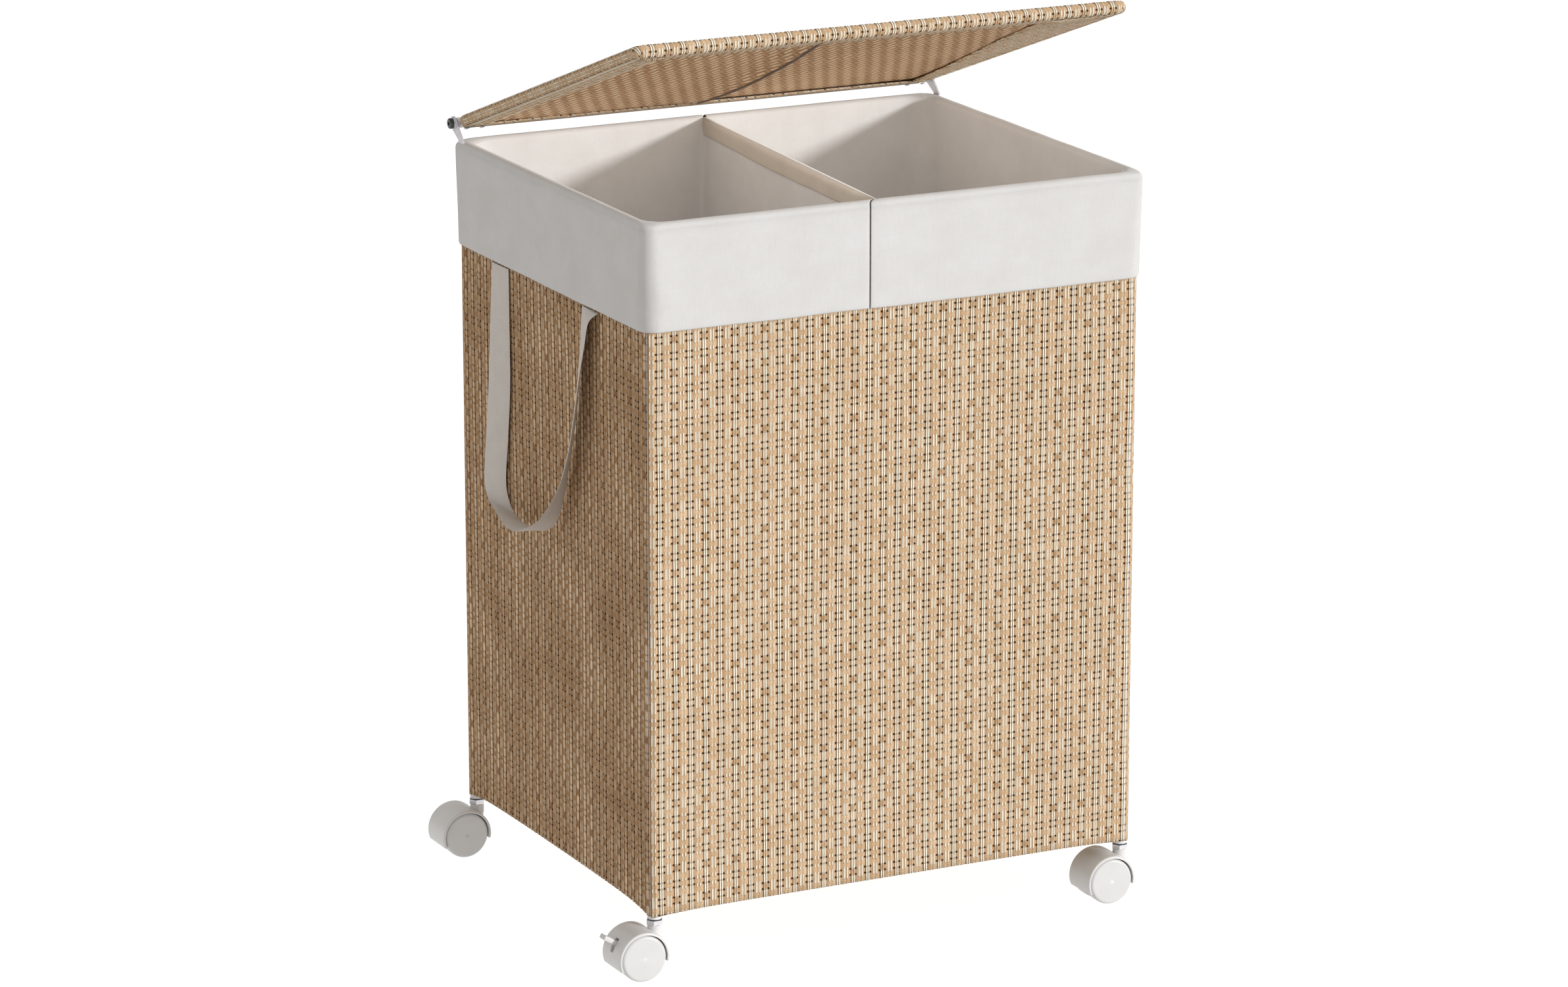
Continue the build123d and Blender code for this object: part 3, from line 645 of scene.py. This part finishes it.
def bag_ring(side, hx, hy, r, x_front, x_back):
    """Plan points of one bag, from the divider's front end round the outside to its back end."""
    ring = []
    for f in spread(0, 1, 27):
        ring.append((x_front + (side * (hx - r) - x_front) * f, -hy))
    for t in spread(0, math.pi / 2, 10)[1:-1]:
        ring.append((side * (hx - r + r * math.sin(t)), -hy + r - r * math.cos(t)))
    for f in spread(0, 1, 45):
        ring.append((side * hx, -hy + r + 2 * (hy - r) * f))
    for t in spread(0, math.pi / 2, 10)[1:-1]:
        ring.append((side * (hx - r + r * math.cos(t)), hy - r + r * math.sin(t)))
    for f in spread(0, 1, 27):
        ring.append((side * (hx - r) + (x_back - side * (hx - r)) * f, hy))
    return ring


def away_from_wall(x, y):
    """Unit direction straight out of the nearest wall, turning round the corners."""
    out = Vector((max(0.0, abs(x) - CUFF_X + 16.0), max(0.0, abs(y) - CUFF_Y + 16.0)))
    out.normalize()
    return Vector((math.copysign(out.x, x), math.copysign(out.y, y)))


def whole_ring(side, hx, hy, r, x_front, x_back):
    """bag_ring, closed along the divider."""
    ring = bag_ring(side, hx, hy, r, x_front, x_back)
    for f in spread(0, 1, DIVIDER_COUNT)[1:]:
        ring.append((x_back + (x_front - x_back) * f, hy - 2 * hy * f))
    return ring


def divider_ends(side):
    """x of one bag's divider wall, at the front and at the back."""
    return DIVIDER["front"] + side * BAG_GAP, DIVIDER["back"] + side * BAG_GAP


def bag_middle(side):
    return Vector(((side * INNER_X + sum(divider_ends(side)) / 2) / 2, 0.0))


def floor_edge(side):
    return whole_ring(side, INNER_X, INNER_Y, 24, *divider_ends(side))


def bag_levels():
    """Rows of a bag from the middle of its floor to its hem: a kind with a share, height or angle."""
    levels = [("floor", share) for share in (0.0, 0.25, 0.5, 0.72, 0.88, 0.97)]
    wall_heights = [BAG_FLOOR_Z + 2.5, BAG_FLOOR_Z + 8] + spread(BAG_FLOOR_Z + 22, RIM_Z - 12, 44)
    levels += [("wall", z) for z in wall_heights]
    levels += [("fold", turn * math.pi) for turn in spread(0.08, 0.92, 9)]
    levels += [("cuff", z) for z in spread(RIM_Z - 7, CUFF_LOW_Z + 0.8, 15)]
    return levels + [("hem", CUFF_LOW_Z + 0.2), ("hem_in", CUFF_LOW_Z + 4.0)]


def bag_row(side, kind, value):
    """Plan points of one row, and the length of cloth from the floor's edge up to it."""
    front, back = divider_ends(side)
    seam_front = SEAM["front"] + side * 0.03
    seam_back = SEAM["back"] + side * 0.03
    if kind == "floor":
        middle = bag_middle(side)
        ring = [tuple(middle + (Vector(p) - middle) * value) for p in floor_edge(side)]
        return ring, -140 + 140 * value
    if kind == "wall":
        shrink = 2.5 * (1.0 - ease((value - BAG_FLOOR_Z) / 22.0))
        near_top = ease((value - (RIM_Z - 60)) / 48.0)
        ring = whole_ring(side, INNER_X - shrink, INNER_Y - shrink, 24 - 2 * near_top, front, back)
        return ring, value - BAG_FLOOR_Z
    if kind == "fold":
        out = FOLD_HALF * (1 - math.cos(value))
        share = out / (2 * FOLD_HALF)
        x_front = front + (seam_front - front) * ease(share)
        x_back = back + (seam_back - back) * ease(share)
        ring = whole_ring(side, INNER_X + out, INNER_Y + out, 22 - 11.7 * share, x_front, x_back)
        return ring, RIM_Z - 8 - BAG_FLOOR_Z + out
    drop = (RIM_Z - value) / (RIM_Z - CUFF_LOW_Z)
    tuck = {"cuff": 0.0, "hem": 0.5, "hem_in": 1.1}[kind]
    ring = whole_ring(side, CUFF_X - tuck, CUFF_Y - tuck, 10.3 + 5.0 * ease(drop), seam_front, seam_back)
    return ring, RIM_Z - BAG_FLOOR_Z + 12 + (RIM_Z - value)


def wall_point(side, x, y, z, divider_step):
    """Wall vertex: slack cloth drawn inwards, and a dip along the divider's top."""
    depth = ease((z - BAG_FLOOR_Z) / 40) * ease((RIM_Z - z) / 60)
    if divider_step < 1:
        soft = 1.6 + 1.5 * wave(x / 70, y / 70, z / 130, 2 + side) + 0.7 * wave(x / 22, y / 22, z / 60, 3)
        inward = (Vector((x, y)) - bag_middle(side)).normalized()
        return x - inward.x * soft * depth, y - inward.y * soft * depth, z
    x += side * (0.5 + 0.5 * wave(0, y / 60, z / 90, 4)) * depth
    if z > RIM_Z - 40:
        z -= 3.0 * math.sin(math.pi * divider_step / DIVIDER_COUNT) * ease((z - RIM_Z + 40) / 30)
    return x, y, z


def cuff_point(x, y, z):
    """Cuff vertex, hanging less evenly towards its hem."""
    outward = away_from_wall(x, y)
    hang = ease((RIM_Z - z) / 70)
    soft = 0.50 * wave(x / 60, y / 60, z / 80, 6) + 0.28 * wave(x / 17, y / 17, z / 45, 7)
    x += outward.x * (soft * hang - 0.15)
    y += outward.y * (soft * hang - 0.15)
    return x, y, z + 0.7 * wave(x / 50, y / 50, 0.0, 8) * hang


def bag_point(side, kind, value, x, y, divider_step):
    """Vertex of a bag. divider_step counts along the divider, and is below 1 elsewhere."""
    if kind == "floor":
        return x, y, BAG_FLOOR_Z + 0.3 + 0.9 * (1 + wave(x / 40, y / 40, 0.0, 11 + side)) * (1 - value)
    if kind == "wall":
        return wall_point(side, x, y, value, divider_step)
    if kind == "fold":
        return x, y, RIM_Z - 6.5 + 6.0 * math.sin(value) ** 0.8 + 0.35 * wave(x / 45, y / 45, 0.0, 9)
    return cuff_point(x, y, value)


def liner_bag(name, side):
    """Lofted bag: sagging floor, four walls, the fold over the rim and the cuff that hangs outside."""
    edge = floor_edge(side)
    outer_count = len(edge) - DIVIDER_COUNT + 1
    around = [0.0]
    for p, q in zip(edge, edge[1:]):
        around.append(around[-1] + math.dist(p, q))
    levels = bag_levels()
    verts, uvs = [], []
    for kind, value in levels:
        ring, run = bag_row(side, kind, value)
        for c, (x, y) in enumerate(ring):
            verts.append(bag_point(side, kind, value, x, y, c - outer_count + 1))
            uvs.append((around[c] * MM, run * MM))
    first_fold_row = [kind for kind, _ in levels].index("fold")

    def keep(r, c):
        return c < outer_count - 1 or r < first_fold_row - 1
    faces = grid_faces(len(levels), len(edge), keep=keep, flip=side < 0)
    obj = piece(f"liner_bag_{name}_cloth", verts, faces, uvs, LINER, "hamper",
                (f"liner_bag_{name}",))
    thicken(obj, BAG_CLOTH)
    smooth_more(obj)


BINDING_HALF = 2.9
BINDING_HEIGHT = 15.0
BINDING_END = BAG_Y + 2.5
BINDING_ROWS = 61


def binding_section():
    """Half-open loop over the divider's top: (x, z) from one lower edge round to the other."""
    half, height = BINDING_HALF, BINDING_HEIGHT
    one_side = [(half - 0.1, -height), (half, -height + 1.0), (half + 0.1, -height / 2), (half, -3.0),
                (half * 0.72, -0.8)]
    return [(-x, z) for x, z in one_side] + [(0.0, 0.0)] + one_side[::-1]


def divider_binding():
    """Double hem over the top edges of the two walls between the bags, sagging a little in the middle, in
    a darker beige than the liner: painted shade.
    """
    section = binding_section()
    verts, uvs = [], []
    for f in spread(0, 1, BINDING_ROWS):
        y = -BINDING_END + 2 * BINDING_END * f
        x = DIVIDER["front"] + (DIVIDER["back"] - DIVIDER["front"]) * (y + BAG_Y) / (2 * BAG_Y)
        top = RIM_Z - 0.9 - 2.2 * math.sin(math.pi * f)
        for i, (dx, dz) in enumerate(section):
            sway = 0.5 * wave(0.0, y / 45, dz / 60, 21) * math.sin(math.pi * f)
            low = 0.6 * wave(0.0, y / 35, 0.0, 22) if dz < -10 else 0.0
            verts.append((x + dx + sway, y, top + dz + low))
            uvs.append(((i * 5.0) * MM, y * MM))
    faces = grid_faces(BINDING_ROWS, len(section))
    obj = piece("divider_binding", verts, faces, uvs, BINDING, "hamper")
    thicken(obj, BAG_CLOTH)
    smooth_more(obj)


# ------------------------------------------------------------ handles
# The strap's wall-side edge and the direction from there to its other edge, down the back leg, round the
# bottom and up the front leg: (y, z, stand-off from the wall, then outward, back and up parts of that
# direction).
STRAP_ROUTE = (
    (81.5, 544.0, 0.5, 0.02, 1.00, 0.00),
    (80.0, 482.0, 1.0, 0.11, 0.99, -0.04),
    (79.7, 442.0, 1.2, 0.17, 0.97, -0.12),
    (84.5, 397.5, 1.4, 0.20, 0.95, -0.22),
    (89.5, 365.0, 1.5, 0.18, 0.96, -0.18),
    (88.0, 348.5, 1.5, 0.18, 0.98, -0.04),
    (77.3, 335.5, 1.5, 0.26, 0.96, 0.12),
    (62.5, 330.7, 1.4, 0.39, 0.89, 0.22),
    (47.6, 329.5, 1.3, 0.54, 0.80, 0.25),
    (31.5, 330.3, 1.2, 0.71, 0.67, 0.22),
    (15.4, 332.5, 1.1, 0.88, 0.43, 0.14),
    (0.6, 337.9, 1.0, 0.99, 0.11, 0.03),
    (-10.2, 345.1, 0.9, 0.99, -0.10, -0.02),
    (-18.3, 355.1, 0.9, 0.94, -0.33, -0.11),
    (-25.2, 366.4, 0.9, 0.84, -0.52, -0.13),
    (-35.6, 393.3, 0.9, 0.63, -0.76, -0.13),
    (-46.0, 426.0, 0.9, 0.53, -0.81, -0.22),
    (-54.0, 456.0, 0.9, 0.49, -0.86, -0.14),
    (-60.0, 490.0, 0.9, 0.43, -0.90, -0.04),
    (-63.5, 518.0, 0.9, 0.34, -0.94, 0.00),
    (-65.2, 537.0, 0.9, 0.26, -0.96, 0.00),
    (-65.6, 544.0, 0.5, 0.03, -1.00, 0.00),
)
STRAP_WIDTH = 33.0
STRAP_THICK = 1.6
WALL_CLEARANCE = 0.35


def catmull_rom(t, a, b, c, d):
    """The number at share t from b to c, with a before them and d after them."""
    square = 2 * a - 5 * b + 4 * c - d
    cube = 3 * b - a - 3 * c + d
    return 0.5 * (2 * b + (c - a) * t + square * t * t + cube * t ** 3)


def smooth_path(points, per_span):
    """Smooth curve through the points, each a tuple of numbers."""
    path = []
    for i in range(len(points) - 1):
        p0, p1 = points[max(i - 1, 0)], points[i]
        p2, p3 = points[i + 1], points[min(i + 2, len(points) - 1)]
        for k in range(per_span):
            t = k / per_span
            path.append(tuple(catmull_rom(t, *numbers) for numbers in zip(p0, p1, p2, p3)))
    path.append(points[-1])
    return path


def strap_section(run):
    """Closed section of the webbing: (place across the width from -1 to 1, height above its middle)."""
    across = spread(-1, 1, 9)
    section = []
    for a in across:
        crown = STRAP_THICK / 2 * (1.0 - abs(a) ** 6) ** 0.5
        section.append((a, crown + 0.12 * wave(run / 9, a * 2, 0, 31)))
    for a in reversed(across[1:-1]):
        section.append((a, -STRAP_THICK / 2 * (1.0 - abs(a) ** 6) ** 0.5))
    return section


def handle(name, side):
    """Webbing loop that hangs from the cuff's lower edge, twisted as it goes round."""
    edge, width = [], []
    for y, z, off, wx, wy, wz in smooth_path(STRAP_ROUTE, 5):
        edge.append(Vector((side * (SHELL_X + off), y, z)))
        width.append(Vector((side * wx, wy, wz)).normalized())
    verts, uvs = [], []
    run = 0.0
    for j, (e, w) in enumerate(zip(edge, width)):
        before = edge[max(j - 1, 0)]
        after = edge[min(j + 1, len(edge) - 1)]
        normal = (after - before).normalized().cross(w).normalized()
        if j:
            run += (e - before).length
        for a, h in strap_section(run):
            place = e + w * (STRAP_WIDTH * (0.5 + a / 2)) + normal * h
            place.x = side * max(side * place.x, SHELL_X + WALL_CLEARANCE)
            verts.append(tuple(place))
            uvs.append((a * STRAP_WIDTH / 2 * MM, run * MM))
    sides = len(verts) // len(edge)
    faces = tube_faces(len(edge), sides)
    faces.append(tuple(range(sides))[::-1])
    faces.append(tuple(range(len(verts) - sides, len(verts))))
    piece(f"handle_{name}_webbing", verts, faces, uvs, WEBBING, f"handle_{name}",
          (f"handle_strap_{name}",), sharp_deg=50)


# ------------------------------------------------------------ lid
LID_JOINT = next(j for j in frame["joints"] if j["name"] == "lid_hinge")
LID_TURN = math.radians(-LID_JOINT["range_deg"][0])
LID_PLACE = Matrix.Translation(Vector(LID_JOINT["pos_m"]) / MM) @ Matrix.Rotation(-LID_TURN, 4, "X")
LID_X = box_mm("lid_cover")[1].x
LID_REACH = 378.0  # from the hinge's axis to the front edge
LID_HALF = 5.6  # half the lid's thickness
LID_MID_Y = (LID_HALF - LID_REACH) / 2
LID_HALF_Y = (LID_HALF + LID_REACH) / 2
LID_CORNER_R = 9.0
ROLL_R = LID_HALF - 0.3  # the cloth's radius round the tubes
HEM_START = 8.0
LID_ROWS = [("top", inset) for inset in (110, 75, 45, 26, 14)]
LID_ROWS += [("roll", angle) for angle in spread(90, -90, 13)]
LID_ROWS += [("hem", reach) for reach in (9.0, 13.0, 18.0, 22.0)] + [("curl", 23.4)]


def on_lid(verts):
    """Vertices given in the closed lid's frame, at its hinge, moved to where the lid stands."""
    return [tuple(LID_PLACE @ Vector(v)) for v in verts]


def lid_ring_columns():
    """Places round the lid's edge, each a point and its outward normal, dense along the front."""
    x, y_front, y_back, r = LID_X, -LID_REACH, LID_HALF, LID_CORNER_R
    columns = []

    def arc(cx, cy, start):
        for t in spread(start, start + math.pi / 2, 8)[1:-1]:
            n = Vector((math.cos(t), math.sin(t)))
            columns.append((Vector((cx, cy)) + r * n, n))
    n = Vector((0, 1))
    for f in spread(0, 1, 60):
        columns.append((Vector((x - r - 2 * (x - r) * f, y_back)), n))
    arc(-x + r, y_back - r, math.pi / 2)
    n = Vector((-1, 0))
    for f in spread(0, 1, 60):
        columns.append((Vector((-x, y_back - r + (y_front + r - y_back + r) * f)), n))
    arc(-x + r, y_front + r, math.pi)
    n = Vector((0, -1))
    half_columns = math.floor((x - r) / COLUMN)
    stations = [-(x - r)]
    for k in range(-half_columns, half_columns):
        stations += [(k + f) * COLUMN for f in STEPS]
    stations += [half_columns * COLUMN, x - r]
    for s in stations:
        columns.append((Vector((s, y_front)), n))
    arc(x - r, y_front + r, 1.5 * math.pi)
    n = Vector((1, 0))
    for f in spread(0, 1, 60):
        columns.append((Vector((x, y_front + r + (y_back - y_front - 2 * r) * f)), n))
    arc(x - r, y_back - r, 0.0)
    columns.append(columns[0])
    return columns


def lid_top_point(inset, point):
    """Vertex of the top panel, drawn in from the edge, and its place on the flat cloth."""
    x = point.x * (1.0 - inset / LID_X)
    y = LID_MID_Y + (point.y - LID_MID_Y) * (1.0 - inset / LID_HALF_Y)
    sag = ease((inset - 8) / 90.0)
    z = ROLL_R - 1.6 * sag + 0.4 * wave(x / 60, y / 60, 0, 41) * (1.0 - sag)
    return (x, y, z), Vector((x, y))


def lid_roll_point(angle, point, n):
    """Vertex of the roll round the tubes. Along the front edge the weave's relief shows on it."""
    t = math.radians(angle)
    bulge = relief((point.x / COLUMN) % 1.0) * 0.7 if n.y < -0.9 else 0.0
    wobble = 0.25 * wave(point.x / 25, point.y / 25, angle / 60, 42)
    place = point - n * (ROLL_R - (ROLL_R + bulge) * math.cos(t) - wobble)
    flat = point + n * (ROLL_R * (math.pi / 2 - t) - ROLL_R)
    return (place.x, place.y, (ROLL_R + bulge) * math.sin(t)), flat


def lid_hem_point(kind, value, point, n):
    """Vertex of the hem under the edge, which is wider towards the front along both sides."""
    widening = 0.0
    if abs(n.x) > 0.5:
        widening = 3.2 if n.x > 0 else 0.6
    reach = HEM_START + (value - HEM_START) * (1.0 + widening * ease((LID_HALF - point.y) / LID_REACH))
    wavy = 1.1 * wave(point.x / 38, point.y / 38, 0, 43) * ease((value - 10) / 12)
    place = point - n * (reach + wavy)
    droop = 0.7 * ease((value - 9) / 14) * (0.6 + 0.5 * wave(point.x / 30, point.y / 30, 0, 44))
    z = -ROLL_R + 0.15 + (0.9 if kind == "curl" else 0.0) - droop
    flat = point + n * (ROLL_R * math.pi - ROLL_R + reach - HEM_START)
    if n.y > 0.6:
        flat = Vector((flat.x + value * 1.6, flat.y - flat.x * 0.55))
    return (place.x, place.y, z), flat


def lid_cover():
    """Woven cover: top panel, the roll round the tubes, and the hem under the edge."""
    columns = lid_ring_columns()
    verts, uvs = [], []
    for kind, value in LID_ROWS:
        for point, n in columns:
            if kind == "top":
                vert, flat = lid_top_point(value, point)
            elif kind == "roll":
                vert, flat = lid_roll_point(value, point, n)
            else:
                vert, flat = lid_hem_point(kind, value, point, n)
            verts.append(vert)
            uvs.append((flat.x / COLUMN, flat.y / ROW))

    def clear_of_hinges(r, c):
        p = columns[c][0]
        at_hinge = abs(p.x) > LID_X - LID_CORNER_R and p.y > -6.0
        return LID_ROWS[r][0] == "top" or not at_hinge
    faces = grid_faces(len(LID_ROWS), len(columns), keep=clear_of_hinges, flip=True)
    faces.append(tuple(range(len(columns) - 1)))
    obj = piece("lid_cover_woven", on_lid(verts), faces, uvs, WOVEN, "lid", ("lid_cover",))
    thicken(obj, 0.7)


FLAP_COLUMNS, FLAP_ROWS = 56, 70
FLAP_OUTER_X = 216.0
FLAP_BACK_Y = -6.0
FLAP_FRONT_Y = -LID_REACH + 9.0
LEFT_EDGE_BACK_X, LEFT_EDGE_FRONT_X = -4.0, -54.0  # free edge of the left flap, which is on top
FLAP_OVERLAP = 26.0


def flap_point(side, f, g):
    """Vertex of a flap: f runs from its free edge to its outer edge, g from the hinge to the front."""
    y = FLAP_BACK_Y + (FLAP_FRONT_Y - FLAP_BACK_Y) * g
    inner = LEFT_EDGE_BACK_X + (LEFT_EDGE_FRONT_X - LEFT_EDGE_BACK_X) * g
    if side > 0:
        inner -= FLAP_OVERLAP
    x = inner + (side * FLAP_OUTER_X - inner) * f
    middle = math.sin(math.pi * g) ** 0.7
    if side > 0:
        z = -2.5 - 2.2 * middle * math.sin(math.pi * f)
    else:
        z = -3.6 - 2.0 * middle * math.sin(math.pi * f * 0.9) - 6.5 * middle * math.exp(-f * 7.0)
    return x, y, z + 0.55 * wave(x / 45, y / 45, 0, 51 + side) * middle


def lid_flap(name, side):
    """Half of the underside, wrong side of the cloth outward. The left one hangs over the right one."""
    verts, uvs = [], []
    for g in spread(0, 1, FLAP_ROWS + 1):
        for f in spread(0, 1, FLAP_COLUMNS + 1):
            x, y, z = flap_point(side, f, g)
            verts.append((x, y, z))
            uvs.append((x / COLUMN, y / ROW))
    if side < 0:
        # A dark strip along the left flap's free edge: painted shadow.
        lid_flap_painted_shadow(verts[::FLAP_COLUMNS + 1])
    faces = grid_faces(FLAP_ROWS + 1, FLAP_COLUMNS + 1, flip=side > 0)
    obj = piece(f"lid_flap_{name}_woven", on_lid(verts), faces, uvs, REVERSE, "lid",
                (f"lid_flap_{name}",))
    thicken(obj, 0.8, offset=1.0)


def lid_flap_painted_shadow(flap_edge):
    """Narrow dark strip along the free edge of the left flap: painted shadow, the dark line that the
    hanging edge casts on the right flap.
    """
    sides, radius = 8, 1.5
    verts, uvs = [], []
    for j, (x, y, z) in enumerate(flap_edge):
        for k in range(sides):
            t = 2 * math.pi * k / sides
            verts.append((x + radius * math.cos(t), y, z + radius * 0.8 * math.sin(t)))
            uvs.append((k / sides, j / 3.0))
    faces = tube_faces(len(flap_edge), sides)
    faces.append(tuple(range(sides)))
    faces.append(tuple(range(len(verts) - sides, len(verts)))[::-1])
    piece("lid_flap_painted_shadow", on_lid(verts), faces, uvs, FLAP_EDGE_SHADOW_CLOTH, "lid")


EYELET_SIDES = 20
# Radius and height of each ring of an eyelet, from its rim to the middle of its hole.
EYELET_RINGS = ((2.6, -0.05), (2.4, -0.55), (1.9, -0.75), (1.4, -0.55), (1.2, 0.2), (0.0, 0.25))


def lid_eyelet(name, x, y):
    verts, uvs = [], []
    for radius, height in EYELET_RINGS:
        for s in range(EYELET_SIDES):
            t = 2 * math.pi * s / EYELET_SIDES
            verts.append((x + radius * math.cos(t), y + radius * math.sin(t), -LID_HALF - 0.3 + height))
            uvs.append((radius * MM, t))
    faces = tube_faces(len(EYELET_RINGS), EYELET_SIDES)
    piece(name, on_lid(verts), faces, uvs, ZINC, "lid")


def lid_eyelets():
    """Small pressed eyelets through the hem beside each hinge."""
    for label, side in (("left", -1), ("right", 1)):
        lid_eyelet(f"lid_eyelet_{label}_0", side * 219.5, -4.0)
        lid_eyelet(f"lid_eyelet_{label}_1", side * 205.0, -3.5)


# ------------------------------------------------------------ CAD nodes that stay
def finish_for(node):
    """The material of a CAD node, from its name."""
    if "wheel" in node:
        return WHEEL_PLASTIC
    if node.endswith(("_hood", "_brake_lever")):
        return WHITE_PLASTIC
    if node.endswith(("_axle", "_stem")) or node in ("bracket_screws", "lid_washers"):
        return ZINC
    if node == "lid_bolts":
        return BLACK_STEEL
    if node.startswith("hinge_bracket"):
        return BRACKET_STEEL
    if node == "post_end_plugs":
        return BLACK_PLASTIC
    if node == "top_connectors":
        return GREY_PLASTIC
    if node == "base_board":
        return BOARD
    if node == "hook_and_loop_strip":
        return LINER
    if node == "handle_tabs":
        return WEBBING
    return FRAME_STEEL


def dress_cad_nodes():
    """Materials for all CAD nodes, and softened edges on the casters and brackets."""
    for name, obj in NODES.items():
        obj.data.materials.clear()
        obj.data.materials.append(finish_for(name))
        if name.startswith(("caster", "hinge_bracket")):
            bevel = obj.modifiers.new("edges", "BEVEL")
            bevel.width = 0.35 * MM
            bevel.segments = 2
            bevel.limit_method = "ANGLE"
            bevel.angle_limit = math.radians(50)


# ------------------------------------------------------------ studio
FLOOR_REACH = 30.0  # metres
FLOOR_GLOW = 0.90
WORLD_COLOUR = (1.0, 0.965, 0.925)
WORLD_STRENGTH = 0.59
KEY_TRAVEL = Vector((-0.80, 1.0, -0.29))
FILL_COLOUR = (1.0, 0.93, 0.85)


def add_to_scene(name, data):
    obj = bpy.data.objects.new(name, data)
    bpy.context.scene.collection.objects.link(obj)
    return obj


def studio_floor():
    """Plain white floor. It glows, so that it stays white round the object, but does not light it."""
    mesh = bpy.data.meshes.new("studio_floor")
    r = FLOOR_REACH
    mesh.from_pydata([(-r, -r, 0), (r, -r, 0), (r, r, 0), (-r, r, 0)], [], [(0, 1, 2, 3)])
    paint = Paint("floor", roughness=0.9)
    paint.colour((0.40, 0.40, 0.40))
    paint.shader.inputs["Specular IOR Level"].default_value = 0.1
    paint.shader.inputs["Emission Color"].default_value = (1.0, 1.0, 1.0, 1.0)
    paint.shader.inputs["Emission Strength"].default_value = FLOOR_GLOW
    mesh.materials.append(paint.material)
    floor = add_to_scene("studio_floor", mesh)
    floor.visible_diffuse = False
    return floor


def studio_world():
    world = bpy.data.worlds.new("studio_world")
    world.use_nodes = True
    background = world.node_tree.nodes["Background"]
    background.inputs["Color"].default_value = (*WORLD_COLOUR, 1.0)
    background.inputs["Strength"].default_value = WORLD_STRENGTH
    bpy.context.scene.world = world


def key_light(floor):
    """Soft key light from the front right, for every mesh but the floor, which gets no hard shadow."""
    data = bpy.data.lights.new("key", "SUN")
    data.energy = 2.38
    data.angle = math.radians(6.0)
    data.color = (1.0, 1.0, 0.995)
    key = add_to_scene("key", data)
    key.rotation_mode = "QUATERNION"
    key.rotation_quaternion = KEY_TRAVEL.to_track_quat("-Z", "Y")
    lit = bpy.data.collections.new("key_receivers")
    for obj in bpy.context.scene.objects:
        if obj.type == "MESH" and obj is not floor:
            lit.objects.link(obj)
    key.light_linking.receiver_collection = lit


def rim_fill(name, height, tilt, watts):
    """Wide lamp at the rim, for the soft light between the pale bags and the lid."""
    data = bpy.data.lights.new(name, "AREA")
    data.shape = "RECTANGLE"
    data.size = 0.42
    data.size_y = 0.33
    data.energy = watts
    data.color = FILL_COLOUR
    lamp = add_to_scene(name, data)
    lamp.location = (0.0, 0.0, height)
    lamp.rotation_euler = (tilt, 0.0, 0.0)
    lamp.visible_camera = False


def studio():
    bpy.context.scene.view_settings.view_transform = "Standard"
    floor = studio_floor()
    studio_world()
    key_light(floor)
    rim_fill("bag_fill", 0.652, 0.0, 0.30)
    rim_fill("lid_fill", 0.640, math.pi, 0.16)


CAMERA_PLACE = (-2.250, -4.457, 1.686)
CAMERA_DOWN = 15.08  # degrees below level
CAMERA_TURN = -26.68  # degrees, about +Z


def camera():
    data = bpy.data.cameras.new("camera")
    data.lens = 139.0
    data.sensor_width = 36.0
    obj = add_to_scene("camera", data)
    obj.location = CAMERA_PLACE
    obj.rotation_euler = (math.radians(90 - CAMERA_DOWN), 0.0, math.radians(CAMERA_TURN))
    bpy.context.scene.camera = obj


# ------------------------------------------------------------ build
woven_shell()
woven_base()
liner_bag("left", -1)
liner_bag("right", 1)
divider_binding()
handle("left", -1)
handle("right", 1)
lid_cover()
lid_flap("left", -1)
lid_flap("right", 1)
lid_eyelets()
dress_cad_nodes()
studio()
camera()

bpy.context.view_layer.update()
